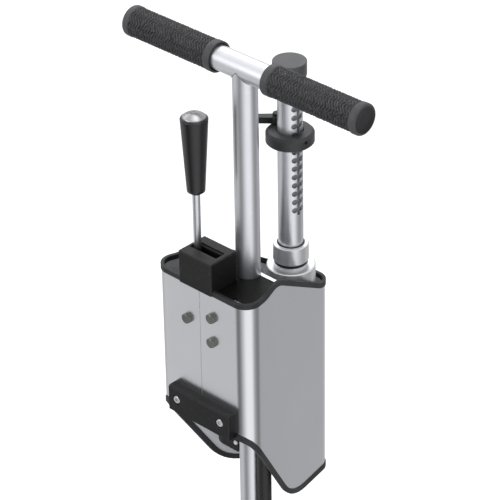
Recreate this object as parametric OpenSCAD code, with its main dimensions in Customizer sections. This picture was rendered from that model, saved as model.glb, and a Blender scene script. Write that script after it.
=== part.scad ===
// Hand soil injector: T handle, dosing plunger and gate lever on a sheet-metal housing.
// Millimetres, +Z up. X runs along the crossbar, Y to the back, Z is 0 at the ground line,
// which is the underside of the foot step. The main tube stands on the Z axis.

/* [Frame tubes] */
// Outside diameter of the main tube and the crossbar
tube_d = 25.4; // [22:0.1:28]
// Wall of the frame tubes
tube_wall = 2; // [1.5:0.1:3]
// Height of the deck's top face above the ground line
deck_z = 600; // [520:5:700]
// Height of the crossbar's axis above the deck
bar_rise = 234; // [200:1:270]
// Length of the crossbar
bar_len = 305; // [260:1:360]

/* [Grips] */
// Length of each rubber grip
grip_len = 118; // [90:1:125]
// Outside diameter of the patterned part of a grip
grip_d = 31.4; // [30:0.2:36]
// Length of the plain band at each end of a grip
grip_band = 8; // [4:0.5:12]
// How far the plain bands stand above the pattern
grip_lip = 0.6; // [0.2:0.1:1.5]
// Thickness of the closed outer end of a grip
grip_cap = 3; // [2:0.5:6]

/* [Housing plan] */
// Place of the housing's front face along Y
front_y = -51.8; // [-60:0.1:-50]
// Depth of the housing from its front face to its back face
housing_depth = 149.7; // [140:0.1:158]
// Where the right wall's line meets the front face
right_x = 49.9; // [49:0.1:56]
// Gap between the barrel's end caps and the right wall, which sets that wall's angle
wall_gap = 1.3; // [1.2:0.1:4]
// Where the left wall's line meets the front face
left_x = -89.6; // [-96:0.1:-86]
// Angle by which the left wall closes in towards the back
left_lean = 20.3; // [14:0.1:21]
// Outside radius of the upright corners
corner_r = 16.3; // [14:0.1:20]
// Thickness of the sheet
sheet = 1.6; // [1.2:0.1:2]
// Place of the two upright seams along X
seam_x = -19.3; // [-24:0.1:-15]
// Width of a seam
seam_gap = 0.5; // [0.3:0.1:1]

/* [Housing side profile] */
// Height of the rim at the front, above the deck
rim_front = 0.7; // [-1:0.1:1]
// How much the rim rises towards its peak
rim_rise = 6.8; // [2:0.1:9]
// Place along Y where the rim starts to rise
rim_rise_y = -22.2; // [-26:0.1:-18]
// Place of the rim's peak along Y
rim_peak_y = 0.9; // [-2:0.1:6]
// Slope of the rim from its peak down to the back, in degrees
rim_slope = 31; // [24:0.5:35]
// Depth of the rim at the back below the deck
rim_drop = 42.3; // [34:0.1:46]
// Radius of the rim's bends
rim_r = 24; // [14:1:26]
// Depth of the front face's lower edge below the deck
front_drop = 155.1; // [150:0.1:162]
// Depth of the lowest edge of the side walls below the deck
side_drop = 279.8; // [270:0.1:288]
// Slope of the side walls' lower ramp, in degrees
ramp_slope = 58.7; // [50:0.1:65]
// Place along Y where the ramp's line would meet the front edge's level
ramp_y = -54.2; // [-58:0.1:-44]
// Radius of the two bends of the lower edge
ramp_r = 49; // [30:1:50]
// Thickness of the rubber edge trim
trim_t = 1; // [0.8:0.1:1.1]
// How far the edge trim reaches over the sheet
trim_reach = 4.5; // [3:0.1:6]

/* [Deck and gate block] */
// Thickness of the black top plate
plate_t = 2; // [1.5:0.1:3]
// Thickness of the aluminium deck under it
deck_t = 3; // [2:0.1:4]
// Place of the deck's back edge along Y
deck_back_y = 11.5; // [8:0.5:14]
// Width of the deck's margin that the plate leaves bare
deck_margin = 6.4; // [3:0.1:8]
// Width of the gate block along X
block_w = 45.5; // [42:0.5:48]
// Depth of the gate block along Y, with its front skirt
block_dy = 38.2; // [36:0.1:39]
// Thickness of the skirt that hangs over the rim's trim
skirt_t = 1.2; // [0.8:0.1:2]
// Height of the gate block above the deck
block_h = 33.3; // [28:0.1:40]
// Depth of the gate slot's step below the block's top
slot_step = 1.6; // [1:0.1:2.5]
// Width of the gate slot
slot_w = 14; // [12.5:0.5:16]

/* [Gate lever] */
// Diameter of the lever's rod
lever_d = 8; // [6:0.5:9]
// Distance from the block's left side to the lever
lever_in = 8.5; // [7:0.1:9]
// Depth of the lever's pivot below the deck
pivot_drop = 10; // [9:0.1:12]
// Height of the knob's top above the deck
knob_top = 186.6; // [170:0.2:200]
// Length of the knob
knob_len = 95.6; // [80:0.2:105]
// Largest diameter of the knob
knob_d = 28.6; // [24:0.2:32]
// Smallest diameter of the knob's taper
knob_d_low = 18.8; // [16:0.2:22]
// How far the lever tilts, in degrees
lever_tilt = 31; // [25:0.5:32]

/* [Dosing plunger] */
// Distance from the housing's back face to the plunger's axis
plunger_inset = 34.4; // [32:0.1:40]
// Outside diameter of the plunger tube
plunger_d = 26; // [24:0.1:27]
// Wall of the plunger tube
plunger_wall = 2.2; // [1.8:0.1:3]
// Height of the cap's top above the deck
cap_top = 218.2; // [200:0.2:240]
// Height of the cap
cap_h = 19.5; // [14:0.5:24]
// Diameter of the cap
cap_d = 34.8; // [31:0.2:40]
// Width of the long slot in the plunger tube
dose_slot_w = 3.6; // [3.2:0.1:4.5]
// Direction of the slot round the tube, in degrees from +X
dose_slot_turn = -7; // [-15:1:5]
// Height of the lowest dose notch above the deck
notch_low = 52.4; // [48:0.2:60]
// Distance between two dose notches
notch_pitch = 9.72; // [8.5:0.02:11]
// Number of dose notches on each side of the slot
notch_count = 13; // [8:1:13]
// Diameter of a dose notch
notch_d = 6.4; // [5:0.1:7]

/* [Stop collar] */
// Height of the collar's lower face above the deck
collar_z = 126.6; // [110:0.2:130]
// Height of the collar
collar_h = 13.6; // [11:0.1:16]
// Outside diameter of the collar
collar_d = 49.8; // [46:0.2:54]
// Length of the lock lever from its pivot
lock_len = 34; // [26:1:40]

/* [Barrel and gland] */
// Depth of the barrel's top face below the deck
barrel_drop = 17; // [14:0.5:24]
// Depth of the barrel's lower end below the deck
barrel_low = 280; // [270:1:290]
// Outside diameter of the barrel's end caps
barrel_cap_d = 50.8; // [50:0.1:51]
// Height of an end cap
barrel_cap_h = 20; // [14:0.5:26]
// Outside diameter of the barrel tube
barrel_d = 49.8; // [48:0.1:49.9]
// Wall of the barrel tube
barrel_wall = 2.6; // [2:0.1:3.5]
// Outside diameter of the gland nut
gland_d = 37.2; // [35:0.2:40]
// Height of the gland nut's top above the deck
gland_top = 8.8; // [6:0.2:14]
// Height of the gland nut
gland_h = 19.6; // [16:0.2:22]

/* [Front fasteners and lower bar] */
// Distance between the bolt columns
bolt_dx = 34.6; // [30:0.2:40]
// Distance between the two bolts of the right column
bolt_dz = 29.2; // [24:0.2:34]
// Depth of the bolts' middle height below the deck
bolt_drop = 45.2; // [42:0.2:50]
// Size across flats of a bolt head
bolt_af = 10; // [9:0.5:12]
// Left end of the lower bar along X
low_bar_x = -58; // [-62:0.5:-55]
// Length of the lower bar
low_bar_len = 86.5; // [82:0.5:92]
// Depth of the lower bar's top below the deck
low_bar_drop = 133; // [128:0.5:140]
// Height of the lower bar
low_bar_h = 31; // [26:0.5:36]
// How far the lower bar stands out of the front face
low_bar_t = 10.6; // [8:0.2:14]

/* [Plumbing] */
// Outside diameter of the braided hose
hose_d = 15.2; // [12:0.2:17]
// Place of the hose along X
hose_x = 21.2; // [20.5:0.1:22]
// Place of the hose along Y
hose_y = -3; // [-6:0.5:0]
// Depth of the manifold's top below the deck
manifold_drop = 168; // [164:1:176]
// Height of the manifold
manifold_h = 60; // [50:1:64]
// Diameter of the supply nipple's plug end
nipple_d = 14; // [12:0.5:16]
// How far the nipple's plug end stands out of its hexagon
nipple_plug = 18; // [12:0.5:26]

/* [Foot step and probe] */
// Length of the foot step
step_len = 220; // [160:5:260]
// Width of the foot step
step_w = 42; // [36:1:60]
// Thickness of the foot step's plate
step_t = 6; // [5:0.5:8]
// Height of the hub over the step
hub_h = 34; // [28:1:45]
// Diameter of the probe
probe_d = 16; // [12:0.5:20]
// Length of the probe that goes into the soil
probe_len = 240; // [180:5:320]
// Length of the pointed tip
tip_len = 44; // [34:1:60]

/* [Fits] */
// Radial clearance of a running fit
run_fit = 0.05; // [0.02:0.01:0.1]
// Clearance between parts that move past each other
play = 0.3; // [0.2:0.05:0.5]

/* [Hidden] */
$fn = 64;
eps = 0.01;
over = 20;
tube_r = tube_d / 2;
back_y = front_y + housing_depth;
plunger_y = back_y - plunger_inset;

// places of the gate block and its lever
trim_gap = 0.2;
block_front = front_y - trim_t - trim_gap - skirt_t;
block_x0 = -block_w;
lever_x = block_x0 + lever_in;
lever_y = block_front + (block_dy + skirt_t) / 2;
lever_r = lever_d / 2;
pivot_z = deck_z - pivot_drop;
pivot_r = 2.5;
pocket_x0 = lever_x - lever_r - 1;
pocket_x1 = lever_x + (block_h + pivot_drop) * tan(lever_tilt) + lever_r / cos(lever_tilt) + 1.2;
deck_low = plate_t + deck_t;

// housing plan: each side wall has an outward normal and a distance from the origin; the right
// wall closes in towards the back as far as the barrel lets it
barrel_reach = plunger_y - front_y;
right_lean = acos((barrel_cap_d / 2 + wall_gap + sheet) / norm([right_x, barrel_reach]))
    - atan2(barrel_reach, right_x);
n_right = [cos(right_lean), sin(right_lean)];
n_left = [-cos(left_lean), sin(left_lean)];
k_right = n_right * [right_x, front_y];
k_left = n_left * [left_x, front_y];
front_c = front_y + corner_r;
back_c = back_y - corner_r;
corner_fr = side_centre(n_right, k_right, front_c);
corner_br = side_centre(n_right, k_right, back_c);
corner_fl = side_centre(n_left, k_left, front_c);
corner_bl = side_centre(n_left, k_left, back_c);
back_seam_x = (corner_br[0] + corner_bl[0]) / 2;
reach_y = 30;
blend = 0.02;
inner_y = front_y + sheet + blend;

// deck, gate block and front bolts
deck_inset = sheet + trim_t + 0.1;
edge_c = 1;
gasket_t = 2;
ledge_x = 0.5;
ledge_y = 1.5;
bolt_r = 3;
bolt_z = deck_z - bolt_drop;
bolt_places = [[seam_x - bolt_dx / 2, bolt_z],
               [seam_x + bolt_dx / 2, bolt_z + bolt_dz / 2],
               [seam_x + bolt_dx / 2, bolt_z - bolt_dz / 2]];
bracket_t = 3;
bracket_x0 = -50;
bracket_x1 = 14;
bracket_low = bolt_z - bolt_dz / 2 - 12;
plate_step_x = 22;
bar_screw_z = deck_z - low_bar_drop - 14.6;
bar_screw_x = [low_bar_x + 10.5, low_bar_x + low_bar_len - 14];

// back seam
rivet_r = 2;
strip_t = 1.5;
strip_end = 12;
strip_y = back_y - sheet - blend - strip_t;
strip_w = corner_br[0] - corner_bl[0] - 2;
rivet_dx = strip_w * 0.27;
strip_top = deck_z - rim_drop - trim_reach - strip_end;
strip_low = deck_z - side_drop + trim_reach + strip_end;
rivet_z = [for (i = [0:3]) strip_top - strip_end - i * (strip_top - strip_low - 2 * strip_end) / 3];

// lever and valve
hub_r = 6.5;
hub_w = slot_w - 5;
tail_r = 3;

// places on the plunger's axis, above the deck
plunger_r = plunger_d / 2;
collar_top = collar_z + collar_h;
cap_low = cap_top - cap_h;
slot_top = notch_low + (notch_count - 1) * notch_pitch + notch_d;
guide_z = collar_z + collar_h * 0.62;
bore_r = barrel_d / 2 - barrel_wall;
piston_h = 16;
piston_top = -barrel_drop - barrel_cap_h - 4;
lock_hub_r = 6;
lock_throw = 1.2;
grip_gap = 0.15;
lock_r = plunger_r + grip_gap + lock_hub_r + lock_throw;
lock_pivot_turn = 173;
lock_point_turn = 222;
lock_h = 8;
nut_low = gland_top - gland_h;
notch_turn = 19.5;
ring_r = 1.6;
piston_grooves = [5, 11];
collar_c = 2.6;
// the lever's hub sits off its screw, so that turning the lever lets go of the plunger tube
lock_pivot = lock_r * [cos(lock_pivot_turn), sin(lock_pivot_turn)];

// plumbing
tail_len = 14;
spool_z = pivot_z - tail_len;
spool_r = 6;
valve_x0 = -60;
valve_x1 = -14;
valve_top = pivot_z - 5.4;
valve_low = spool_z - 11;
ear_w = 5;
ear_x = 9;
valve_dy = slot_w + 2 * ear_w;
flange_x0 = lever_x + ear_x + 1;
feed_x = -24;
feed_y = 3;
feed_z = spool_z - 4;
bend_r = 12;
manifold_y0 = -6;
block_r = 16;
arm_y0 = tube_r + 0.4;
port_in = 8;
manifold_back = plunger_y - barrel_d / 2 - 1;
manifold_x0 = (k_left - sheet - n_left[1] * manifold_back) / n_left[0] + 2.8;
manifold_z = deck_z - manifold_drop - manifold_h;
supply_z = manifold_z + manifold_h / 2;
outlet_z = manifold_z + manifold_h - 12;
pipe_r = 4;
pipe_x = manifold_x0 + 18;
pipe_y = manifold_back - 10.6;
pipe_turn = atan2(pipe_y - plunger_y, pipe_x);
supply_y = manifold_back - 13.6;
nipple_hex = 8;
nipple_hex_x = (k_left - n_left[1] * supply_y) / n_left[0] - 7;
hub_dx = 62;
hub_top = step_t + hub_h;
hub_left = 22;
clip_z = [deck_z * 0.2, deck_z * 0.36];
clip_h = 12;
plug_len = 20;
plug_r = tube_r - tube_wall - eps;
spout_r = 5;
saddle_h = 20;
saddle_half = 13;
probe_r = probe_d / 2;
probe_bore = probe_r - 3.5;
hose_r = hose_d / 2;
hose_low = hub_top + 30;
hose_top = outlet_z - over;

module at_plunger() { translate([0, plunger_y, deck_z]) children(); }
module tube_z(r, wall, h) {
    difference() {
        cylinder(r = r, h = h);
        translate([0, 0, -1]) cylinder(r = r - wall, h = h + 2);
    }
}
module along_y() { rotate([-90, 0, 0]) children(); }
module along_x() { rotate([0, 90, 0]) children(); }
// a disc with a chamfer at its top, its bottom or both
module chamfered(r, h, top = 0, low = 0) {
    rotate_extrude()
        polygon([[0, 0], [r - low, 0], [r, low], [r, h - top], [r - top, h], [0, h]]);
}
function arc(c, r, a0, a1, n = 10) =
    [for (i = [0:n]) c + r * [cos(a0 + (a1 - a0) * i / n), sin(a0 + (a1 - a0) * i / n)]];

// Housing plan: a trapezoid with round corners, drawn at any inset from its outer face.
// Each wall has an outward normal and a distance from the origin.
function side_centre(n, k, y) = [(k - corner_r - n[1] * y) / n[0], y];
module plan(inset) {
    r = corner_r - inset;
    for (c = [corner_fr, corner_br, corner_bl, corner_fl]) translate(c) circle(r = r);
    w = r - blend;
    polygon([corner_fr + w * [0, -1], corner_fr + w * n_right, corner_br + w * n_right,
             corner_br + w * [0, 1], corner_bl + w * [0, 1], corner_bl + w * n_left,
             corner_fl + w * n_left, corner_fl + w * [0, -1]]);
}
module wall_ring(outer, inner) {
    translate([0, 0, deck_z - side_drop - over]) linear_extrude(side_drop + 2 * over) difference() {
        plan(outer);
        plan(inner);
    }
}
// Side profile, seen along X as [y, z]. A bend turns a line from angle a0 to a1 round a corner
// with radius r; the line is moved to its left by d, so the bend is offset and stays round.
function bend_arc(corner, a0, a1, r, d) =
    let (s = sign(a1 - a0),
         start = corner - r * tan(abs(a1 - a0) / 2) * [cos(a0), sin(a0)],
         c = start + s * r * [-sin(a0), cos(a0)])
    arc(c, r - s * d, a0 - s * 90, a1 - s * 90, 8);
// the rim and the lower edge, moved outwards by d
function rim_edge(d) =
    let (peak = rim_front + rim_rise,
         climb = atan2(rim_rise, rim_peak_y - rim_rise_y),
         fall_y = rim_peak_y + (peak + rim_drop) / tan(rim_slope))
    concat([[front_y - reach_y, rim_front + d]],
           bend_arc([rim_rise_y, rim_front], 0, climb, rim_r, d),
           bend_arc([rim_peak_y, peak], climb, -rim_slope, rim_r, d),
           bend_arc([fall_y, -rim_drop], -rim_slope, 0, rim_r, d),
           [[back_y + reach_y + rim_r, d - rim_drop]]);
function lower_edge(d) =
    let (ramp_end = ramp_y + (side_drop - front_drop) / tan(ramp_slope))
    concat([[front_y - reach_y - ramp_r, -front_drop - d]],
           bend_arc([ramp_y, -front_drop], 0, -ramp_slope, ramp_r, -d),
           bend_arc([ramp_end, -side_drop], -ramp_slope, 0, ramp_r, -d),
           [[back_y + reach_y, -side_drop - d]]);
function turned(list) = [for (i = [len(list) - 1:-1:0]) list[i]];
module side_band(upper, lower) {
    span = right_x - left_x + 2 * over;
    translate([left_x - over, 0, deck_z]) rotate([90, 0, 90])
        linear_extrude(span) polygon(concat(upper, turned(lower)));
}
module shell() {
    intersection() {
        wall_ring(0, sheet);
        side_band(rim_edge(0), lower_edge(0));
    }
}
// what lies on one side of the seams; the back seam is in the middle of the back face
module half_space(side) {
    size = right_x - left_x + 2 * over;
    depth = housing_depth / 2 + over;
    for (seam = [[seam_x, front_y - over], [back_seam_x, front_y - over + depth]])
        translate([seam[0] + (side > 0 ? seam_gap / 2 : -seam_gap / 2 - size), seam[1],
                   deck_z - side_drop - over])
            cube([size, depth + eps, side_drop + 2 * over]);
}

module crossbar() {
    color("silver") translate([-bar_len / 2, 0, deck_z + bar_rise])
        along_x() tube_z(tube_r, tube_wall, bar_len);
}

// rubber grip, its closed end outwards
module grip(side) {
    r = grip_d / 2;
    rim = r + grip_lip;
    total = grip_len + grip_cap;
    start = bar_len / 2 - grip_len;
    rotate([0, side * 90, 0]) translate([0, 0, start]) rotate_extrude() polygon(concat(
        [[tube_r + eps, 0], [rim - 1, 0], [rim, 1], [rim, grip_band - 0.6], [r, grip_band],
         [r, total - grip_band], [rim, total - grip_band + 0.6]],
        arc([rim - grip_cap, total - grip_cap], grip_cap, 0, 90, 6),
        [[0, total], [0, grip_len + eps], [tube_r + eps, grip_len + eps]]));
}
module grip_left() { color([0.17, 0.17, 0.18]) translate([0, 0, deck_z + bar_rise]) grip(-1); }
module grip_right() { color([0.17, 0.17, 0.18]) translate([0, 0, deck_z + bar_rise]) grip(1); }

// the tube's top is coped to the crossbar, its foot sits in the hub's socket
module main_tube() {
    color("silver") difference() {
        translate([0, 0, step_t]) tube_z(tube_r, tube_wall, deck_z + bar_rise - step_t);
        translate([-bar_len / 2, 0, deck_z + bar_rise]) along_x() cylinder(r = tube_r, h = bar_len);
    }
}

module inlet_hole() {
    translate([left_x - over, supply_y, supply_z]) along_x()
        cylinder(r = nipple_d / 2 + 3, h = manifold_x0 - left_x + over);
}
module front_holes(r) {
    for (p = bolt_places) translate([p[0], front_y - over / 2, p[1]]) along_y()
        cylinder(r = r, h = over);
    for (x = bar_screw_x) translate([x, front_y - over / 2, bar_screw_z]) along_y()
        cylinder(r = r, h = over);
}
module rivet_holes(r) {
    for (z = rivet_z, side = [-1, 1]) translate([back_seam_x + side * rivet_dx, back_y - over / 2, z])
        along_y() cylinder(r = r, h = over);
}
module housing_left() {
    color([0.73, 0.74, 0.76]) difference() {
        intersection() {
            shell();
            half_space(-1);
        }
        inlet_hole();
        front_holes(bolt_r + eps);
        rivet_holes(rivet_r + eps);
    }
}
module housing_right() {
    color([0.66, 0.67, 0.69]) difference() {
        intersection() {
            shell();
            half_space(1);
        }
        front_holes(bolt_r + eps);
        rivet_holes(rivet_r + eps);
    }
}

// U-shaped rubber trim over the edges of the sheet
module rim_trim() {
    color([0.27, 0.27, 0.28]) difference() {
        intersection() {
            wall_ring(-trim_t, sheet + trim_t);
            side_band(rim_edge(trim_t), rim_edge(-trim_reach));
        }
        intersection() {
            wall_ring(0, sheet);
            side_band(rim_edge(0), rim_edge(-trim_reach - 1));
        }
    }
}
module lower_trim() {
    color([0.27, 0.27, 0.28]) difference() {
        intersection() {
            wall_ring(-trim_t, sheet + trim_t);
            side_band(lower_edge(-trim_reach), lower_edge(trim_t));
        }
        intersection() {
            wall_ring(0, sheet);
            side_band(lower_edge(-trim_reach - 1), lower_edge(0));
        }
        translate([low_bar_x, front_y - low_bar_t, deck_z - low_bar_drop - low_bar_h])
            cube([low_bar_len, low_bar_t, low_bar_h]);
    }
}

// strip and rivets that join the two shells at the back seam
module rear_strip() {
    color("silver") difference() {
        translate([back_seam_x - strip_w / 2, strip_y, strip_low])
            cube([strip_w, strip_t, strip_top - strip_low]);
        rivet_holes(rivet_r + eps);
    }
}
module rear_rivets() {
    color("silver") for (z = rivet_z, side = [-1, 1])
        translate([back_seam_x + side * rivet_dx, 0, z]) {
            translate([0, strip_y, 0]) along_y() cylinder(r = rivet_r, h = back_y - strip_y);
            translate([0, back_y, 0]) along_y() chamfered(rivet_r + 1.6, 1.2, top = 0.8);
        }
}

// deck: the aluminium tray under the block, and the black plate on it
module deck_plan(y0, y1) {
    intersection() {
        plan(deck_inset);
        translate([block_x0, y0]) square([right_x - block_x0, y1 - y0]);
    }
}
module deck_openings() {
    translate([0, 0, -1]) cylinder(r = tube_r + eps, h = over);
    translate([pocket_x0, lever_y - slot_w / 2 + 1, -1])
        cube([pocket_x1 - pocket_x0, slot_w - 2, over]);
}
module deck() {
    color("silver") translate([0, 0, deck_z - deck_low]) difference() {
        linear_extrude(deck_t) deck_plan(front_y, deck_back_y);
        deck_openings();
    }
}
module top_plate() {
    plate_y0 = front_y + deck_inset + deck_margin;
    plate_y1 = deck_back_y - deck_margin;
    color([0.12, 0.12, 0.13]) translate([0, 0, deck_z - plate_t]) difference() {
        linear_extrude(plate_t) union() {
            deck_plan(plate_y0, plate_y1);
            intersection() {
                deck_plan(front_y, plate_y1);
                translate([block_x0, front_y]) square([plate_step_x - block_x0, plate_y1 - front_y]);
            }
        }
        deck_openings();
    }
}

// black block with the lever's gate slot; its front skirt hangs over the rim's trim
module gate_block() {
    drop = trim_reach - rim_front;
    inside = block_front + skirt_t;
    color([0.18, 0.19, 0.2]) difference() {
        translate([block_x0, block_front, deck_z - drop]) block_body(block_w, block_dy, block_h + drop);
        translate([block_x0 - 1, inside, deck_z - drop - 1]) cube([block_w + 2, block_dy, drop + 1]);
        translate([block_x0 - 1, inside, deck_z - 1])
            cube([block_w + 2, front_y + deck_inset - inside, rim_front + trim_t + trim_gap + 1]);
        translate([pocket_x0 + ledge_x, lever_y - slot_w / 2 + ledge_y, deck_z - 1])
            cube([pocket_x1 - pocket_x0 - 2 * ledge_x, slot_w - 2 * ledge_y, block_h + 2]);
        translate([pocket_x0, lever_y - slot_w / 2, deck_z + block_h - slot_step - gasket_t])
            cube([pocket_x1 - pocket_x0, slot_w, over]);
    }
}
// box with chamfered upright and top edges
module block_body(w, d, h) {
    intersection() {
        linear_extrude(h) polygon([[edge_c, 0], [w - edge_c, 0], [w, edge_c], [w, d - edge_c],
            [w - edge_c, d], [edge_c, d], [0, d - edge_c], [0, edge_c]]);
        translate([0, d + 1, 0]) rotate([90, 0, 0]) linear_extrude(d + 2)
            polygon([[0, 0], [w, 0], [w, h - edge_c], [w - edge_c, h], [edge_c, h], [0, h - edge_c]]);
        translate([-1, 0, 0]) rotate([90, 0, 90]) linear_extrude(w + 2)
            polygon([[0, 0], [d, 0], [d, h - edge_c], [d - edge_c, h], [edge_c, h], [0, h - edge_c]]);
    }
}
// rubber lips in the slot; they are drawn apart by the rod's width, as the rod parts them
module slot_gasket() {
    lip_gap = lever_d + 2 * play;
    color([0.24, 0.24, 0.25])
        translate([pocket_x0, lever_y - slot_w / 2, deck_z + block_h - slot_step - gasket_t])
        difference() {
            cube([pocket_x1 - pocket_x0, slot_w, gasket_t]);
            translate([ledge_x, (slot_w - lip_gap) / 2, -1])
                cube([pocket_x1 - pocket_x0 - 2 * ledge_x, lip_gap, gasket_t + 2]);
        }
}

// bracket behind the front face that carries the deck and takes the three bolts
module front_bracket() {
    y0 = inner_y;
    color("silver") difference() {
        union() {
            translate([bracket_x0, y0, bracket_low])
                cube([bracket_x1 - bracket_x0, bracket_t, deck_z - deck_low - trim_reach - bracket_low]);
            translate([flange_x0, y0 + trim_t + 0.2, deck_z - deck_low - trim_reach - 1])
                cube([bracket_x1 - flange_x0, bracket_t, trim_reach + 1]);
        }
        front_holes(bolt_r + eps);
    }
}
module hex_bolts() {
    head = 4.2;
    color([0.62, 0.63, 0.6]) for (p = bolt_places) translate([p[0], front_y, p[1]]) {
        translate([0, -head, 0]) intersection() {
            along_y() rotate([0, 0, 30]) cylinder(r = bolt_af / sqrt(3), h = head, $fn = 6);
            along_y() rotate_extrude()
                polygon([[0, 0], [bolt_af / 2 - 0.2, 0], [bolt_af * 0.62, 1], [bolt_af * 0.62, head],
                         [0, head]]);
        }
        translate([0, -1, 0]) along_y() cylinder(r = bolt_r, h = sheet + bracket_t + 7);
    }
}
module hex_nuts() {
    color([0.62, 0.63, 0.6]) for (p = bolt_places)
        translate([p[0], inner_y + bracket_t, p[1]]) along_y() difference() {
            cylinder(r = bolt_af / sqrt(3), h = 5, $fn = 6);
            translate([0, 0, -1]) cylinder(r = bolt_r + eps, h = 7);
        }
}

// gate lever: rod, hub on the pivot pin with the tail that moves the spool, and knob
module lever_rod() {
    color("silver") translate([lever_x, lever_y, pivot_z + hub_r - 2])
        cylinder(r = lever_r, h = knob_top + pivot_drop - knob_len + 8 - hub_r + 2);
}
module lever_hub() {
    color("dimgray") difference() {
        union() {
            translate([lever_x, lever_y - hub_w / 2, pivot_z]) along_y() cylinder(r = hub_r, h = hub_w);
            translate([lever_x - 2.4, lever_y - hub_w / 2, spool_z])
                cube([4.8, hub_w, tail_len]);
            translate([lever_x, lever_y - hub_w / 2, spool_z]) along_y()
                cylinder(r = tail_r, h = hub_w);
        }
        translate([lever_x, lever_y - hub_w, pivot_z]) along_y()
            cylinder(r = pivot_r + run_fit, h = 2 * hub_w);
        translate([lever_x, lever_y, pivot_z + hub_r - 2]) cylinder(r = lever_r, h = 20);
    }
}
module lever_knob() {
    r = knob_d / 2;
    low = knob_d_low / 2;
    shoulder = knob_len - 10.6;
    crown = r - 1.6;
    color([0.13, 0.13, 0.15]) translate([lever_x, lever_y, deck_z + knob_top - knob_len])
        difference() {
            rotate_extrude() polygon(concat(
                [[0, 0], [low - 3.6, 0], [low, 4.4], [r, shoulder], [crown, shoulder + 4.6]],
                arc([crown - 6, shoulder + 4.6], 6, 0, 70, 5), [[0, knob_len]]));
            translate([0, 0, -1]) cylinder(r = lever_r, h = 9);
            translate([0, 0, knob_len - 0.8]) sphere(r = 1.6, $fn = 24);
        }
}
module pivot_pin() {
    color("silver") translate([lever_x, lever_y - slot_w / 2 - 4, pivot_z]) along_y()
        cylinder(r = pivot_r, h = slot_w + 8);
}

// valve under the deck: two ears carry the pivot pin, the spool slides along X
module valve_body() {
    y0 = lever_y - valve_dy / 2;
    sweep = tail_len * sin(lever_tilt);
    color([0.16, 0.16, 0.17]) difference() {
        union() {
            translate([valve_x0, y0, valve_low])
                cube([valve_x1 - valve_x0, valve_dy, valve_top - valve_low]);
            translate([lever_x - ear_x, y0, valve_top])
                cube([2 * ear_x, valve_dy, deck_z - deck_low - valve_top]);
        }
        translate([valve_x0 - 1, lever_y, spool_z]) along_x()
            cylinder(r = spool_r + run_fit, h = valve_x1 - valve_x0 + 2);
        translate([lever_x - sweep - 8, lever_y - slot_w / 2 + 1.5, spool_z - 4.6])
            cube([sweep + 8 + hub_r + 2, slot_w - 3, 60]);
        translate([lever_x, y0 - 1, pivot_z]) along_y() cylinder(r = pivot_r + eps, h = valve_dy + 2);
        translate([feed_x, lever_y + valve_dy / 2 - 4, feed_z]) along_y() cylinder(r = pipe_r, h = 9);
    }
}
module valve_spool() {
    slot_half = tail_r + play;
    color("silver") difference() {
        translate([valve_x0 + 8, lever_y, spool_z]) along_x()
            cylinder(r = spool_r, h = valve_x1 - valve_x0 - 8);
        translate([lever_x, lever_y + 10, spool_z]) rotate([90, 0, 0]) linear_extrude(20)
            polygon([[-slot_half, -slot_half], [slot_half, -slot_half], [slot_half, 0.5],
                     [slot_half + (spool_r + 1) * tan(lever_tilt), spool_r + 1.5],
                     [-slot_half, spool_r + 1.5]]);
    }
}
module feed_tube() {
    y0 = lever_y + valve_dy / 2 - 4;
    z0 = manifold_z + manifold_h - 8;
    color("silver") {
        translate([feed_x, y0, feed_z]) along_y() cylinder(r = pipe_r, h = feed_y - bend_r - y0);
        translate([feed_x, feed_y - bend_r, feed_z - bend_r]) rotate([0, -90, 0]) bend();
        translate([feed_x, feed_y, z0]) cylinder(r = pipe_r, h = feed_z - bend_r - z0);
    }
}
// a quarter of a ring from +X to +Y
module bend() { rotate_extrude(angle = 90) translate([bend_r, 0]) circle(r = pipe_r); }

// barrel on the plunger's axis
module barrel() {
    color("silver") at_plunger() translate([0, 0, -barrel_low + barrel_cap_h])
        tube_z(barrel_d / 2, barrel_wall, barrel_low - barrel_drop - 2 * barrel_cap_h);
}
module barrel_top_cap() {
    r = barrel_cap_d / 2;
    color([0.86, 0.86, 0.87]) at_plunger() difference() {
        union() {
            translate([0, 0, -barrel_drop - barrel_cap_h]) chamfered(r, barrel_cap_h, top = 1, low = 0.5);
            translate([0, 0, -barrel_drop - eps]) cylinder(r = gland_d / 2 - 1.6, h = 2.5);
        }
        translate([0, 0, -barrel_drop - barrel_cap_h - 1])
            cylinder(r = plunger_r + run_fit, h = barrel_cap_h + 5);
    }
}
module barrel_low_cap() {
    r = barrel_cap_d / 2;
    color([0.86, 0.86, 0.87]) at_plunger() difference() {
        translate([0, 0, -barrel_low]) chamfered(r, barrel_cap_h, top = 0.5, low = 1.2);
        translate([0, 0, -barrel_low + 5]) cylinder(r = bore_r - 4, h = barrel_cap_h);
        translate([0, 0, -barrel_low + barrel_cap_h / 2]) rotate([0, 90, pipe_turn])
            cylinder(r = pipe_r, h = r + 5);
    }
}
module gland_seal() {
    color([0.06, 0.06, 0.06]) at_plunger() difference() {
        translate([0, 0, 2.5 - barrel_drop]) chamfered(gland_d / 2 - 1.1, nut_low - 2.5 + barrel_drop,
            top = 0.4, low = 0.4);
        translate([0, 0, -barrel_drop]) cylinder(r = plunger_r + run_fit, h = 20);
    }
}
module gland_nut() {
    color([0.8, 0.81, 0.83]) at_plunger() difference() {
        translate([0, 0, nut_low]) chamfered(gland_d / 2, gland_h, top = 0.6, low = 0.8);
        translate([0, 0, nut_low - 1]) cylinder(r = plunger_r + run_fit, h = gland_h + 2);
        translate([0, 0, gland_top - 3]) cylinder(r = plunger_r + 1.3, h = 4);
    }
}
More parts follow.
